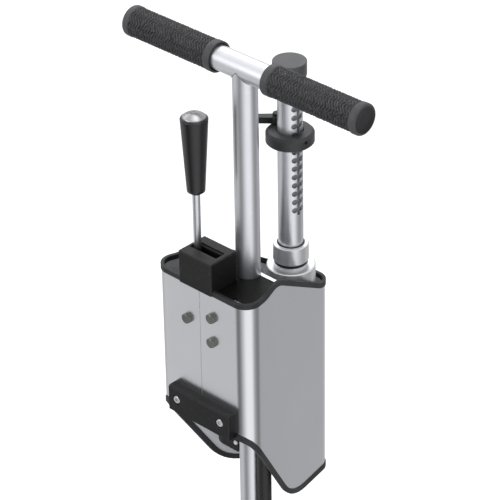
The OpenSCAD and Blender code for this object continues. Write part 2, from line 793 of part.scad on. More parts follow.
module wiper_ring() {
    color([0.06, 0.06, 0.06]) at_plunger() translate([0, 0, gland_top - 3]) difference() {
        cylinder(r = plunger_r + 1.3, h = 3.4);
        translate([0, 0, -1]) cylinder(r = plunger_r + run_fit, h = 6);
    }
}
// welded spacers between the main tube and the barrel
module saddle(z) {
    color("silver") difference() {
        translate([-saddle_half, tube_r / 2, z]) cube([2 * saddle_half, plunger_y - tube_r, saddle_h]);
        translate([0, 0, z - 1]) cylinder(r = tube_r, h = saddle_h + 2);
        translate([0, plunger_y, z - 1]) cylinder(r = barrel_d / 2, h = saddle_h + 2);
    }
}
module upper_saddle() { saddle(deck_z - barrel_drop - barrel_cap_h - 2 * saddle_h); }
module lower_saddle() { saddle(deck_z - barrel_low + barrel_cap_h + saddle_h / 4); }

// dosing plunger with its long slot and the rows of notches beside it
module plunger_tube() {
    low = piston_top;
    color("silver") at_plunger() difference() {
        translate([0, 0, low]) tube_z(plunger_r, plunger_wall, cap_low + 10 - low);
        rotate([0, 0, dose_slot_turn]) translate([plunger_r - 6, -dose_slot_w / 2, notch_low - notch_d])
            cube([12, dose_slot_w, slot_top - notch_low + notch_d]);
        for (i = [0:notch_count - 1], side = [-1, 1])
            rotate([0, 0, dose_slot_turn + side * notch_turn])
                translate([plunger_r - 5, 0, notch_low + i * notch_pitch])
                along_x() cylinder(r = notch_d / 2, h = 12, $fn = 24);
    }
}
module plunger_cap() {
    r = cap_d / 2;
    taper = 5;
    color([0.34, 0.34, 0.35]) at_plunger() translate([0, 0, cap_low]) difference() {
        rotate_extrude() polygon([[0, 0], [r - 1.5, 0], [r, taper], [r, cap_h - 0.5],
                                  [r - 0.5, cap_h], [0, cap_h]]);
        translate([0, 0, -1]) difference() {
            cylinder(r = plunger_r, h = 11);
            cylinder(r = plunger_r - plunger_wall, h = 11);
        }
    }
}
module piston() {
    r = bore_r - run_fit;
    color("gainsboro") at_plunger() translate([0, 0, piston_top - piston_h]) difference() {
        chamfered(r, piston_h, top = 1, low = 1);
        for (z = piston_grooves) translate([0, 0, z - ring_r]) difference() {
            cylinder(r = r + 1, h = 2 * ring_r);
            translate([0, 0, -1]) cylinder(r = r - 2.4, h = 6);
        }
    }
}
module piston_rings() {
    color([0.06, 0.06, 0.06]) at_plunger() for (z = piston_grooves)
        translate([0, 0, piston_top - piston_h + z - ring_r]) difference() {
            cylinder(r = bore_r - 0.02, h = 2 * ring_r);
            translate([0, 0, -1]) cylinder(r = bore_r - run_fit - 2.4, h = 6);
        }
}

// stop collar, with a screw that runs in the plunger's slot
module stop_collar() {
    r = collar_d / 2;
    color([0.3, 0.3, 0.31]) at_plunger() difference() {
        translate([0, 0, collar_z]) chamfered(r, collar_h, top = collar_c, low = 1.6);
        translate([0, 0, collar_z - 1]) cylinder(r = plunger_r + run_fit, h = collar_h + 2);
        translate([0, 0, collar_top - 4]) cylinder(r = plunger_r + 0.9, h = 5);
        rotate([0, 0, dose_slot_turn]) translate([0, 0, guide_z]) along_x() cylinder(r = 2, h = r + 5);
        translate([lock_pivot[0], lock_pivot[1], collar_top - 8]) cylinder(r = 2.5, h = 20);
    }
}
module guide_screw() {
    color("dimgray") at_plunger() rotate([0, 0, dose_slot_turn]) translate([0, 0, guide_z]) along_x()
        difference() {
            union() {
                translate([0, 0, plunger_r + play]) cylinder(r = 2, h = collar_d / 2 - plunger_r - 1.6);
                translate([0, 0, plunger_r - 1.6]) cylinder(r = dose_slot_w / 2 - play, h = 3);
            }
            translate([0, 0, collar_d / 2 - 3.4]) cylinder(r = 1.1, h = 5, $fn = 6);
        }
}
module lock_screw() {
    top = collar_top + lock_h;
    color("dimgray") at_plunger() translate(lock_pivot) difference() {
        union() {
            translate([0, 0, collar_top - 8]) cylinder(r = 2.5, h = 8 + lock_h + play * 2);
            translate([0, 0, top + play * 2]) chamfered(4.4, 2.6, top = 0.7);
        }
        translate([0, 0, top + 2]) cylinder(r = 1.5, h = 5, $fn = 6);
    }
}
module lock_lever() {
    root_w = 9;
    tip_w = 7;
    color([0.1, 0.1, 0.1]) at_plunger() translate([lock_pivot[0], lock_pivot[1], collar_top + play])
        difference() {
            union() {
                rotate([0, 0, lock_pivot_turn + 180]) translate([lock_throw, 0, 0])
                    chamfered(lock_hub_r, lock_h, top = 0.8);
                rotate([0, 0, lock_point_turn]) linear_extrude(lock_h - 1)
                    polygon([[0, -root_w / 2], [lock_len, -tip_w / 2], [lock_len, tip_w / 2],
                             [0, root_w / 2]]);
                rotate([0, 0, lock_point_turn]) translate([lock_len, 0, 0])
                    chamfered(tip_w / 2, lock_h - 1, top = 0.8);
            }
            translate([0, 0, -1]) cylinder(r = 2.5 + run_fit, h = lock_h + 2);
        }
}

// bar across the foot of the front face, and the bracket behind it
module lower_bar() {
    head_r = 5.6;
    color([0.2, 0.2, 0.21]) difference() {
        translate([low_bar_x, front_y, deck_z - low_bar_drop - low_bar_h]) rotate([90, 0, 90])
            linear_extrude(low_bar_len) polygon([[0, 0], [1.2 - low_bar_t, 0], [-low_bar_t, 1.2],
                [-low_bar_t, low_bar_h - 1.8], [1.8 - low_bar_t, low_bar_h], [0, low_bar_h]]);
        for (x = bar_screw_x) translate([x, front_y - low_bar_t - 1, bar_screw_z]) along_y() {
            cylinder(r = head_r, h = 4.4);
            cylinder(r = bolt_r + eps, h = 30);
        }
    }
}
module bar_screws() {
    color("silver") for (x = bar_screw_x) translate([x, front_y - low_bar_t + 0.6, bar_screw_z])
        along_y() difference() {
            union() {
                translate([0, 0, 2.8]) mirror([0, 0, 1]) chamfered(4.6, 2.8, top = 0.6);
                cylinder(r = bolt_r, h = low_bar_t + sheet + 8);
            }
            translate([0, 0, -1]) cylinder(r = 2, h = 3, $fn = 6);
        }
}
module lower_bracket() {
    z0 = bar_screw_z - 9.4;
    h = 18;
    wall = 5;
    arm_w = 12;
    color("silver") difference() {
        union() {
            translate([low_bar_x, inner_y, z0]) cube([low_bar_len, wall, h]);
            translate([-arm_w / 2, inner_y + wall - 1, z0]) cube([arm_w, 1 - inner_y - wall, h]);
        }
        translate([0, 0, z0 - 1]) cylinder(r = tube_r, h = h + 2);
        front_holes(bolt_r + eps);
    }
}

// manifold: a rounded block beside the main tube, with an arm behind it
module manifold() {
    x1 = -tube_r - 1.4;
    arm_x1 = hose_x + hose_r;
    y1 = manifold_back;
    color([0.15, 0.16, 0.17]) difference() {
        translate([0, 0, manifold_z]) linear_extrude(manifold_h) union() {
            translate([manifold_x0 + block_r, manifold_y0 + block_r]) circle(r = block_r);
            translate([manifold_x0 + block_r, manifold_y0])
                square([x1 - manifold_x0 - block_r, y1 - manifold_y0]);
            translate([manifold_x0, manifold_y0 + block_r])
                square([block_r, y1 - manifold_y0 - block_r]);
            translate([x1 - 1, arm_y0]) square([arm_x1 - x1 + 1, y1 - arm_y0]);
        }
        translate([manifold_x0 - 1, supply_y, supply_z]) along_x()
            cylinder(r = nipple_d / 2 + eps, h = port_in + 1);
        translate([feed_x, feed_y, manifold_z + manifold_h - port_in])
            cylinder(r = pipe_r + eps, h = port_in + 1);
        translate([pipe_x, pipe_y, manifold_z - 1]) cylinder(r = pipe_r + eps, h = port_in + 1);
        translate([hose_x, arm_y0 - 1, outlet_z]) along_y() cylinder(r = spout_r + eps, h = port_in + 1);
    }
}
// supply connection through the left wall: shank, hexagon and plug end
module supply_nipple() {
    r = nipple_d / 2;
    out = nipple_hex + nipple_plug;
    color([0.78, 0.72, 0.5]) translate([nipple_hex_x, supply_y, supply_z]) difference() {
        union() {
            translate([-out, 0, 0]) along_x()
                cylinder(r = r, h = manifold_x0 + port_in - nipple_hex_x + out);
            translate([-nipple_hex, 0, 0]) along_x() cylinder(r = r + 4.4, h = nipple_hex, $fn = 6);
        }
        translate([-out - 1, 0, 0]) along_x()
            cylinder(r = r - 3, h = manifold_x0 + port_in - nipple_hex_x + out + 2);
    }
}
// outlet: a block that turns the flow down into the hose
module outlet_elbow() {
    half = 8.5;
    y1 = arm_y0;
    color([0.75, 0.76, 0.78]) difference() {
        union() {
            translate([hose_x - half, hose_y - half, outlet_z - 9]) cube([2 * half, y1 - hose_y + half, 18]);
            translate([hose_x, y1, outlet_z]) along_y() cylinder(r = spout_r, h = port_in);
            translate([hose_x, hose_y, outlet_z - over]) cylinder(r = hose_r + 0.8, h = over - 8);
        }
        translate([0, 0, outlet_z - 2 * over]) cylinder(r = tube_r + eps, h = 4 * over);
    }
}
module transfer_pipe() {
    z = deck_z - barrel_low + barrel_cap_h / 2;
    reach = norm([pipe_x, pipe_y - plunger_y]) - barrel_cap_d / 2 + 9;
    color("silver") translate([pipe_x, pipe_y, z]) rotate([0, 0, pipe_turn + 180]) {
        translate([0, 0, bend_r]) cylinder(r = pipe_r, h = manifold_z + 8 - z - bend_r);
        translate([bend_r, 0, bend_r]) rotate([90, 180, 0]) bend();
        translate([bend_r, 0, 0]) along_x() cylinder(r = pipe_r, h = reach - bend_r);
    }
}
module hose() {
    color([0.15, 0.15, 0.15]) translate([hose_x, hose_y, hose_low])
        cylinder(r = hose_r, h = hose_top - hose_low);
}
module hose_clips() {
    wall = 1.6;
    web = 10;
    color("dimgray") for (z = clip_z) translate([0, 0, z]) difference() {
        union() {
            cylinder(r = tube_r + wall, h = clip_h);
            translate([hose_x, hose_y, 0]) cylinder(r = hose_r + wall, h = clip_h);
            translate([0, hose_y - web / 2, 0]) cube([hose_x, web, clip_h]);
        }
        translate([0, 0, -1]) cylinder(r = tube_r, h = clip_h + 2);
        translate([hose_x, hose_y, -1]) cylinder(r = hose_r, h = clip_h + 2);
    }
}
module hose_fitting() {
    color([0.75, 0.76, 0.78]) translate([hose_x, hose_y, hub_top]) {
        translate([0, 0, 14]) chamfered(hose_r + 0.8, 16, top = 0.6, low = 0.6);
        translate([0, 0, 6]) cylinder(r = hose_r + 0.8, h = 8, $fn = 6);
        translate([0, 0, -port_in]) cylinder(r = spout_r, h = port_in + 7);
    }
}

// foot step, hub and probe
module step_hub() {
    color([0.5, 0.51, 0.53]) difference() {
        translate([-hub_left, -step_w / 2 + 2, step_t]) block_body(hub_dx, step_w - 4, hub_h);
        translate([0, 0, step_t - 1]) cylinder(r = tube_r + eps, h = hub_h + 2);
        translate([hose_x, hose_y, hub_top - port_in]) cylinder(r = spout_r + eps, h = over);
    }
}
module foot_step() {
    rib = 3;
    color([0.24, 0.24, 0.25]) difference() {
        union() {
            translate([-step_len / 2, -step_w / 2, 0]) cube([step_len, step_w, step_t]);
            for (side = [-1, 1], i = [0:4]) translate([side * (step_len / 2 - 8 - 11 * i) - rib / 2,
                -step_w / 2 + 3, step_t - eps]) cube([rib, step_w - 6, 1.6]);
        }
        translate([0, 0, -1]) cylinder(r = plug_r + eps, h = step_t + 2);
    }
}
module probe() {
    whole = probe_len + step_t + plug_len;
    color("silver") difference() {
        union() {
            translate([0, 0, -probe_len]) cylinder(r = probe_r, h = probe_len + 1);
            cylinder(r = plug_r, h = step_t + plug_len);
        }
        translate([0, 0, -probe_len - 1]) cylinder(r = probe_bore, h = whole + 2);
    }
}
module probe_tip() {
    r = probe_r - 0.5;
    color([0.55, 0.56, 0.58]) translate([0, 0, -probe_len - tip_len]) difference() {
        union() {
            rotate_extrude() polygon([[0, 0], [1.2, 0.4], [r, tip_len - 14], [r, tip_len], [0, tip_len]]);
            translate([0, 0, tip_len - 1]) cylinder(r = probe_bore - eps, h = 15);
        }
        translate([0, 0, 20]) cylinder(r = 2.5, h = tip_len);
        for (turn = [0:90:270]) rotate([0, 0, turn + 45]) translate([0, 0, tip_len - 8])
            along_x() cylinder(r = 1.2, h = 20, $fn = 24);
    }
}

crossbar();
grip_left();
grip_right();
main_tube();
housing_left();
housing_right();
rim_trim();
lower_trim();
rear_strip();
rear_rivets();
deck();
top_plate();
gate_block();
slot_gasket();
front_bracket();
hex_bolts();
hex_nuts();
lever_rod();
lever_hub();
lever_knob();
pivot_pin();
valve_body();
valve_spool();
feed_tube();
barrel();
barrel_top_cap();
barrel_low_cap();
gland_seal();
gland_nut();
wiper_ring();
upper_saddle();
lower_saddle();
plunger_tube();
plunger_cap();
piston();
piston_rings();
stop_collar();
guide_screw();
lock_screw();
lock_lever();
lower_bar();
bar_screws();
lower_bracket();
manifold();
supply_nipple();
outlet_elbow();
transfer_pipe();
hose();
hose_clips();
hose_fitting();
step_hub();
foot_step();
probe();
probe_tip();
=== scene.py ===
# T-handled hand soil injector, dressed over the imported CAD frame. Metres, +Z up.
import math
import bpy
import bmesh
from mathutils import Matrix, Vector
from mathutils.bvhtree import BVHTree


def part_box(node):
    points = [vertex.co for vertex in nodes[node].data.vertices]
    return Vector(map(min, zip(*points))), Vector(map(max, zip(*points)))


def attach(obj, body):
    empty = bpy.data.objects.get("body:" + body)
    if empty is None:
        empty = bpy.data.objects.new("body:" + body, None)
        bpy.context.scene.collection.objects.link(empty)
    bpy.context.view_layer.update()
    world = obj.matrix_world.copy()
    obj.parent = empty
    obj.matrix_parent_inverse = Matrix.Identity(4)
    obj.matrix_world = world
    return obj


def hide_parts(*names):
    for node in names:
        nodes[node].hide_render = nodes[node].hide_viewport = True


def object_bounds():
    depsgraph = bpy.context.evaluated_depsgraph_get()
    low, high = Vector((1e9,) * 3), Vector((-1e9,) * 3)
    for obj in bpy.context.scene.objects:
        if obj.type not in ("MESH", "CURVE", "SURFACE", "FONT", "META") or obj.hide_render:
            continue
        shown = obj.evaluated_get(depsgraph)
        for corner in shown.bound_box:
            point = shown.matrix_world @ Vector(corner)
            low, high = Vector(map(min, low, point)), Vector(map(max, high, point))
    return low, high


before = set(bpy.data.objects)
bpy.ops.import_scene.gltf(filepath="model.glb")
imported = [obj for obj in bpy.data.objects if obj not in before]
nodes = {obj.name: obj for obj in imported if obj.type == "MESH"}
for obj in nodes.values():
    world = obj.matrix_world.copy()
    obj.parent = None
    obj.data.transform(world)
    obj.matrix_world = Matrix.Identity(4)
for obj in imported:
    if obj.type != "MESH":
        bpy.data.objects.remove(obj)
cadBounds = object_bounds()
scene = bpy.context.scene
scene.view_settings.view_transform = "Standard"


def boxOf(node):
    low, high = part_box(node)
    return Vector(low), Vector(high)


# heights and axes that the rest is placed by
deckZ = boxOf("top_plate")[1].z
barLow, barHigh = boxOf("crossbar")
barZ = (barLow.z + barHigh.z) / 2
barRadius = (barHigh.z - barLow.z) / 2
print("frame loaded,", len(nodes), "nodes")

cameraView = {
    "azimuth": 44.117,      # degrees, 0 looks along +Y
    "elevation": 31.693,
    "roll": -0.985,
    "distance": 2.68352,
    "lens": 190.456,
    "sensor": 36.0,
    "aimRight": 0.001656,   # where the camera aims, from the tube's axis at the deck
    "aimUp": 0.023136,
    "imageSize": 500,
}


def addCamera(view):
    az, el, roll = (math.radians(view[k]) for k in ("azimuth", "elevation", "roll"))
    forward = Vector((-math.sin(az) * math.cos(el), math.cos(az) * math.cos(el), -math.sin(el)))
    flatRight = Vector((math.cos(az), math.sin(az), 0))
    flatUp = flatRight.cross(forward)
    right = flatRight * math.cos(roll) + flatUp * math.sin(roll)
    up = flatUp * math.cos(roll) - flatRight * math.sin(roll)
    place = Vector((0, 0, deckZ)) + right * view["aimRight"] + up * view["aimUp"]
    place -= forward * view["distance"]
    data = bpy.data.cameras.new("camera")
    data.lens = view["lens"]
    data.sensor_width = view["sensor"]
    data.sensor_fit = "AUTO"
    data.clip_end = 50
    camera = bpy.data.objects.new("camera", data)
    camera.matrix_world = Matrix((
        (right.x, up.x, -forward.x, place.x),
        (right.y, up.y, -forward.y, place.y),
        (right.z, up.z, -forward.z, place.z),
        (0, 0, 0, 1)))
    scene.collection.objects.link(camera)
    scene.camera = camera
    return camera


camera = addCamera(cameraView)
print("camera placed")


def addNode(tree, kind, inputs=None, **settings):
    node = tree.nodes.new(kind)
    for name, value in settings.items():
        setattr(node, name, value)
    for name, value in (inputs or {}).items():
        if isinstance(value, bpy.types.NodeSocket):
            tree.links.new(value, node.inputs[name])
        else:
            node.inputs[name].default_value = value
    return node


def maths(tree, operation, *values):
    return addNode(tree, "ShaderNodeMath", dict(enumerate(values)), operation=operation).outputs[0]


def spread(tree, value, low, high, fromLow=0.0, fromHigh=1.0):
    limits = {"Value": value, "From Min": fromLow, "From Max": fromHigh, "To Min": low, "To Max": high}
    return addNode(tree, "ShaderNodeMapRange", limits).outputs["Result"]


def newMaterial(name):
    mat = bpy.data.materials.new(name)
    mat.use_nodes = True
    mat.node_tree.nodes.clear()
    return mat, mat.node_tree


def directRays(tree):
    # 1 for what the camera, a reflection or a clear piece looks at
    path = addNode(tree, "ShaderNodeLightPath").outputs
    seen = maths(tree, "MAXIMUM", path["Is Camera Ray"], path["Is Glossy Ray"])
    return maths(tree, "MAXIMUM", seen, path["Is Transmission Ray"]), path


def mixColors(tree, share, first, second):
    # 0, 6 and 7 are the factor and the two colours of a Mix node set to RGBA
    node = addNode(tree, "ShaderNodeMix", {0: share, 6: first, 7: second}, data_type="RGBA")
    return node.outputs[2]


studio = {
    "floorSize": 40.0,
    "floorColor": (0.8, 0.8, 0.8, 1),
    "floorShine": 0.45,       # what the floor adds for the camera, so that it goes over into the white
    "worldColor": (0.965, 0.978, 1.0, 1),
    "worldLight": 0.62,       # light from all round
    "aim": (0, 0, 0.6),       # what the lamps look at
    "sideAim": (0, 0, 0.7),
    "ceilingLight": 1.0,      # how bright the upper half is in a reflection
    "horizon": (-0.15, 0.2),  # where the walls go over into it
    # and its walls and floor, by compass direction in degrees
    "walls": [(-180, 0.60), (-152, 0.78), (-128, 0.80), (-116, 0.20), (-98, 0.20), (-72, 0.75),
              (-50, 1.25), (-8, 1.25), (10, 0.50), (34, 0.26), (52, 0.30), (64, 0.58), (100, 0.62), (134, 0.72),
              (180, 0.60)],
}
lamps = {
    # big soft lamp at the front left, then right, above, beside the camera and high at the back left
    "keyLamp": {"place": (-0.9, -2.6, 2.0), "aim": "aim", "power": 22.0, "size": (1.2, 1.6)},
    "fillLamp": {"place": (2.8, -0.4, 1.4), "aim": "aim", "power": 5.0, "size": (0.8, 1.8)},
    "topLamp": {"place": (0.2, 0.3, 2.9), "aim": "aim", "power": 14.0, "size": (1.4, 1.4)},
    "stripLamp": {"place": (2.5, -1.15, 0.2), "aim": "sideAim", "power": 19.0, "size": (0.95, 3.2), "mirrored": False},
    "overLamp": {"place": (-2.3, 1.0, 2.55), "aim": "sideAim", "power": 24.0, "size": (3.6, 1.2)},
}


def addFloor():
    half = studio["floorSize"] / 2
    low = cadBounds[0][2]
    mesh = bpy.data.meshes.new("floor")
    corners = [(-half, -half, low), (half, -half, low), (half, half, low), (-half, half, low)]
    mesh.from_pydata(corners, [], [(0, 1, 2, 3)])
    floor = bpy.data.objects.new("floor", mesh)
    scene.collection.objects.link(floor)
    floor.visible_glossy = False
    mat, tree = newMaterial("floorWhite")
    seen = directRays(tree)[0]
    glow = addNode(tree, "ShaderNodeEmission", {"Strength": maths(tree, "MULTIPLY", seen, studio["floorShine"])})
    diffuse = addNode(tree, "ShaderNodeBsdfDiffuse", {"Color": studio["floorColor"]})
    both = addNode(tree, "ShaderNodeAddShader", {0: diffuse.outputs[0], 1: glow.outputs[0]})
    addNode(tree, "ShaderNodeOutputMaterial", {"Surface": both.outputs[0]})
    mesh.materials.append(mat)


def addWorld():
    world = bpy.data.worlds.new("studio")
    world.use_nodes = True
    tree = world.node_tree
    tree.nodes.clear()
    seen, path = directRays(tree)
    # a reflection shows the studio's walls, brighter and darker by compass direction
    way = addNode(tree, "ShaderNodeTexCoord").outputs["Generated"]
    xyz = addNode(tree, "ShaderNodeSeparateXYZ", {"Vector": way}).outputs
    compass = spread(tree, maths(tree, "ARCTAN2", xyz["Y"], xyz["X"]), 0, 1, -math.pi, math.pi)
    ramp = addNode(tree, "ShaderNodeValToRGB", {"Fac": compass})
    stops = ramp.color_ramp.elements
    for i, (turn, light) in enumerate(studio["walls"]):
        at = (turn + 180) / 360
        stop = stops[i] if i < 2 else stops.new(at)
        stop.position = at
        stop.color = (light, light, light * 1.01, 1)
    above = spread(tree, xyz["Z"], 0, 1, *studio["horizon"])
    ceiling = studio["ceilingLight"]
    room = mixColors(tree, above, ramp.outputs["Color"], (ceiling, ceiling, ceiling, 1))
    shown = mixColors(tree, path["Is Glossy Ray"], (1, 1, 1, 1), room)
    white = addNode(tree, "ShaderNodeBackground", {"Color": shown, "Strength": 1.0})
    lit = {"Color": studio["worldColor"], "Strength": studio["worldLight"]}
    light = addNode(tree, "ShaderNodeBackground", lit)
    mix = addNode(tree, "ShaderNodeMixShader", {0: seen, 1: light.outputs[0], 2: white.outputs[0]})
    addNode(tree, "ShaderNodeOutputWorld", {"Surface": mix.outputs[0]})
    scene.world = world


def addLamp(name, look):
    place = Vector(look["place"])
    data = bpy.data.lights.new(name, "AREA")
    data.shape = "RECTANGLE"
    data.size, data.size_y = look["size"]
    data.energy = look["power"]
    lamp = bpy.data.objects.new(name, data)
    lamp.location = place
    lamp.rotation_euler = (Vector(studio[look["aim"]]) - place).to_track_quat("-Z", "Y").to_euler()
    lamp.visible_glossy = look.get("mirrored", True)   # the strip is bright, so no metal mirrors it
    scene.collection.objects.link(lamp)


addFloor()
addWorld()
for name, look in lamps.items():
    addLamp(name, look)
print("studio ready")


def newGroup(name, inputs, outputs):
    group = bpy.data.node_groups.new(name, "ShaderNodeTree")
    for label, kind in inputs:
        group.interface.new_socket(name=label, in_out="INPUT", socket_type=kind)
    for label, kind in outputs:
        group.interface.new_socket(name=label, in_out="OUTPUT", socket_type=kind)
    return group, group.nodes.new("NodeGroupInput").outputs


def useGroup(tree, group, inputs):
    node = tree.nodes.new("ShaderNodeGroup")
    node.node_tree = group
    for name, value in inputs.items():
        if isinstance(value, bpy.types.NodeSocket):
            tree.links.new(value, node.inputs[name])
        else:
            node.inputs[name].default_value = value
    return node.outputs


def drawnGrain():
    # fine lines left by drawing, rolling or moulding, longest where the stretch is smallest
    group, given = newGroup("drawnGrain", [("Vector", "NodeSocketVector"), ("Stretch", "NodeSocketVector")],
                            [("Grain", "NodeSocketFloat")])
    inputs = {0: given["Vector"], 1: given["Stretch"]}
    place = addNode(group, "ShaderNodeVectorMath", inputs, operation="MULTIPLY").outputs[0]
    noise = addNode(group, "ShaderNodeTexNoise", {"Vector": place, "Scale": 1.0, "Detail": 3.0, "Roughness": 0.62})
    addNode(group, "NodeGroupOutput", {"Grain": spread(group, noise.outputs["Fac"], 0, 1, 0.28, 0.72)})
    return group


def handlingMarks():
    # broad soft patches, as from handling and wiping
    group, given = newGroup("handlingMarks", [("Vector", "NodeSocketVector"), ("Scale", "NodeSocketFloat")],
                            [("Marks", "NodeSocketFloat"), ("Specks", "NodeSocketFloat")])
    look = {"Vector": given["Vector"], "Scale": given["Scale"], "Detail": 4.0, "Roughness": 0.55, "Distortion": 0.35}
    broad = addNode(group, "ShaderNodeTexNoise", look).outputs["Fac"]
    fine = {"Vector": given["Vector"], "Scale": maths(group, "MULTIPLY", given["Scale"], 26.0), "Detail": 1.0}
    specks = addNode(group, "ShaderNodeTexNoise", fine).outputs["Fac"]
    addNode(group, "NodeGroupOutput", {"Marks": spread(group, broad, 0, 1, 0.36, 0.64),
                                       "Specks": spread(group, specks, 0, 1, 0.66, 0.76)})
    return group


def softEdges():
    # rounds the look of an edge and tells where the edges are
    group, given = newGroup("softEdges", [("Radius", "NodeSocketFloat")],
                            [("Normal", "NodeSocketVector"), ("Edge", "NodeSocketFloat")])
    bevel = addNode(group, "ShaderNodeBevel", {"Radius": given["Radius"]}, samples=4).outputs[0]
    flat = addNode(group, "ShaderNodeNewGeometry").outputs["Normal"]
    dot = addNode(group, "ShaderNodeVectorMath", {0: bevel, 1: flat}, operation="DOT_PRODUCT").outputs["Value"]
    addNode(group, "NodeGroupOutput", {"Normal": bevel, "Edge": spread(group, dot, 1, 0, 0.80, 0.985)})
    return group


def turnedRings():
    # the tool's marks on a turned piece, rings that follow one another along its axis
    group, given = newGroup("turnedRings", [("Vector", "NodeSocketVector"), ("Pitch", "NodeSocketFloat")],
                            [("Rings", "NodeSocketFloat")])
    z = addNode(group, "ShaderNodeSeparateXYZ", {"Vector": given["Vector"]}).outputs["Z"]
    turn = maths(group, "MULTIPLY", maths(group, "DIVIDE", z, given["Pitch"]), 2 * math.pi)
    addNode(group, "NodeGroupOutput", {"Rings": spread(group, maths(group, "SINE", turn), 0, 1, -1, 1)})
    return group


def insideFaces():
    # 1 on the walls that look towards an upright line through the centre
    group, given = newGroup("insideFaces", [("Vector", "NodeSocketVector"), ("Centre", "NodeSocketVector")],
                            [("Inside", "NodeSocketFloat")])
    fromMiddle = addNode(group, "ShaderNodeVectorMath", {0: given["Vector"], 1: given["Centre"]}, operation="SUBTRACT")
    level = addNode(group, "ShaderNodeVectorMath", {0: fromMiddle.outputs[0], 1: (1, 1, 0)}, operation="MULTIPLY")
    flat = addNode(group, "ShaderNodeNewGeometry").outputs["Normal"]
    dot = addNode(group, "ShaderNodeVectorMath", {0: level.outputs[0], 1: flat}, operation="DOT_PRODUCT")
    addNode(group, "NodeGroupOutput", {"Inside": maths(group, "LESS_THAN", dot.outputs["Value"], 0.0)})
    return group


grainGroup = drawnGrain()
marksGroup = handlingMarks()
edgeGroup = softEdges()
ringGroup = turnedRings()
insideGroup = insideFaces()
shellMiddle = (boxOf("housing_left")[0] + boxOf("housing_right")[1]) / 2


def grey(value):
    return (value, value, value, 1)


# how far specks of wear, and the edges' wear and painted highlight, show where a finish doesn't say, and what each part
# of a finish weighs
finishDefaults = {"specks": 0.25, "edgeWearAndHighlight": 0.55, "grainShare": 0.5, "ringShare": 0.7}
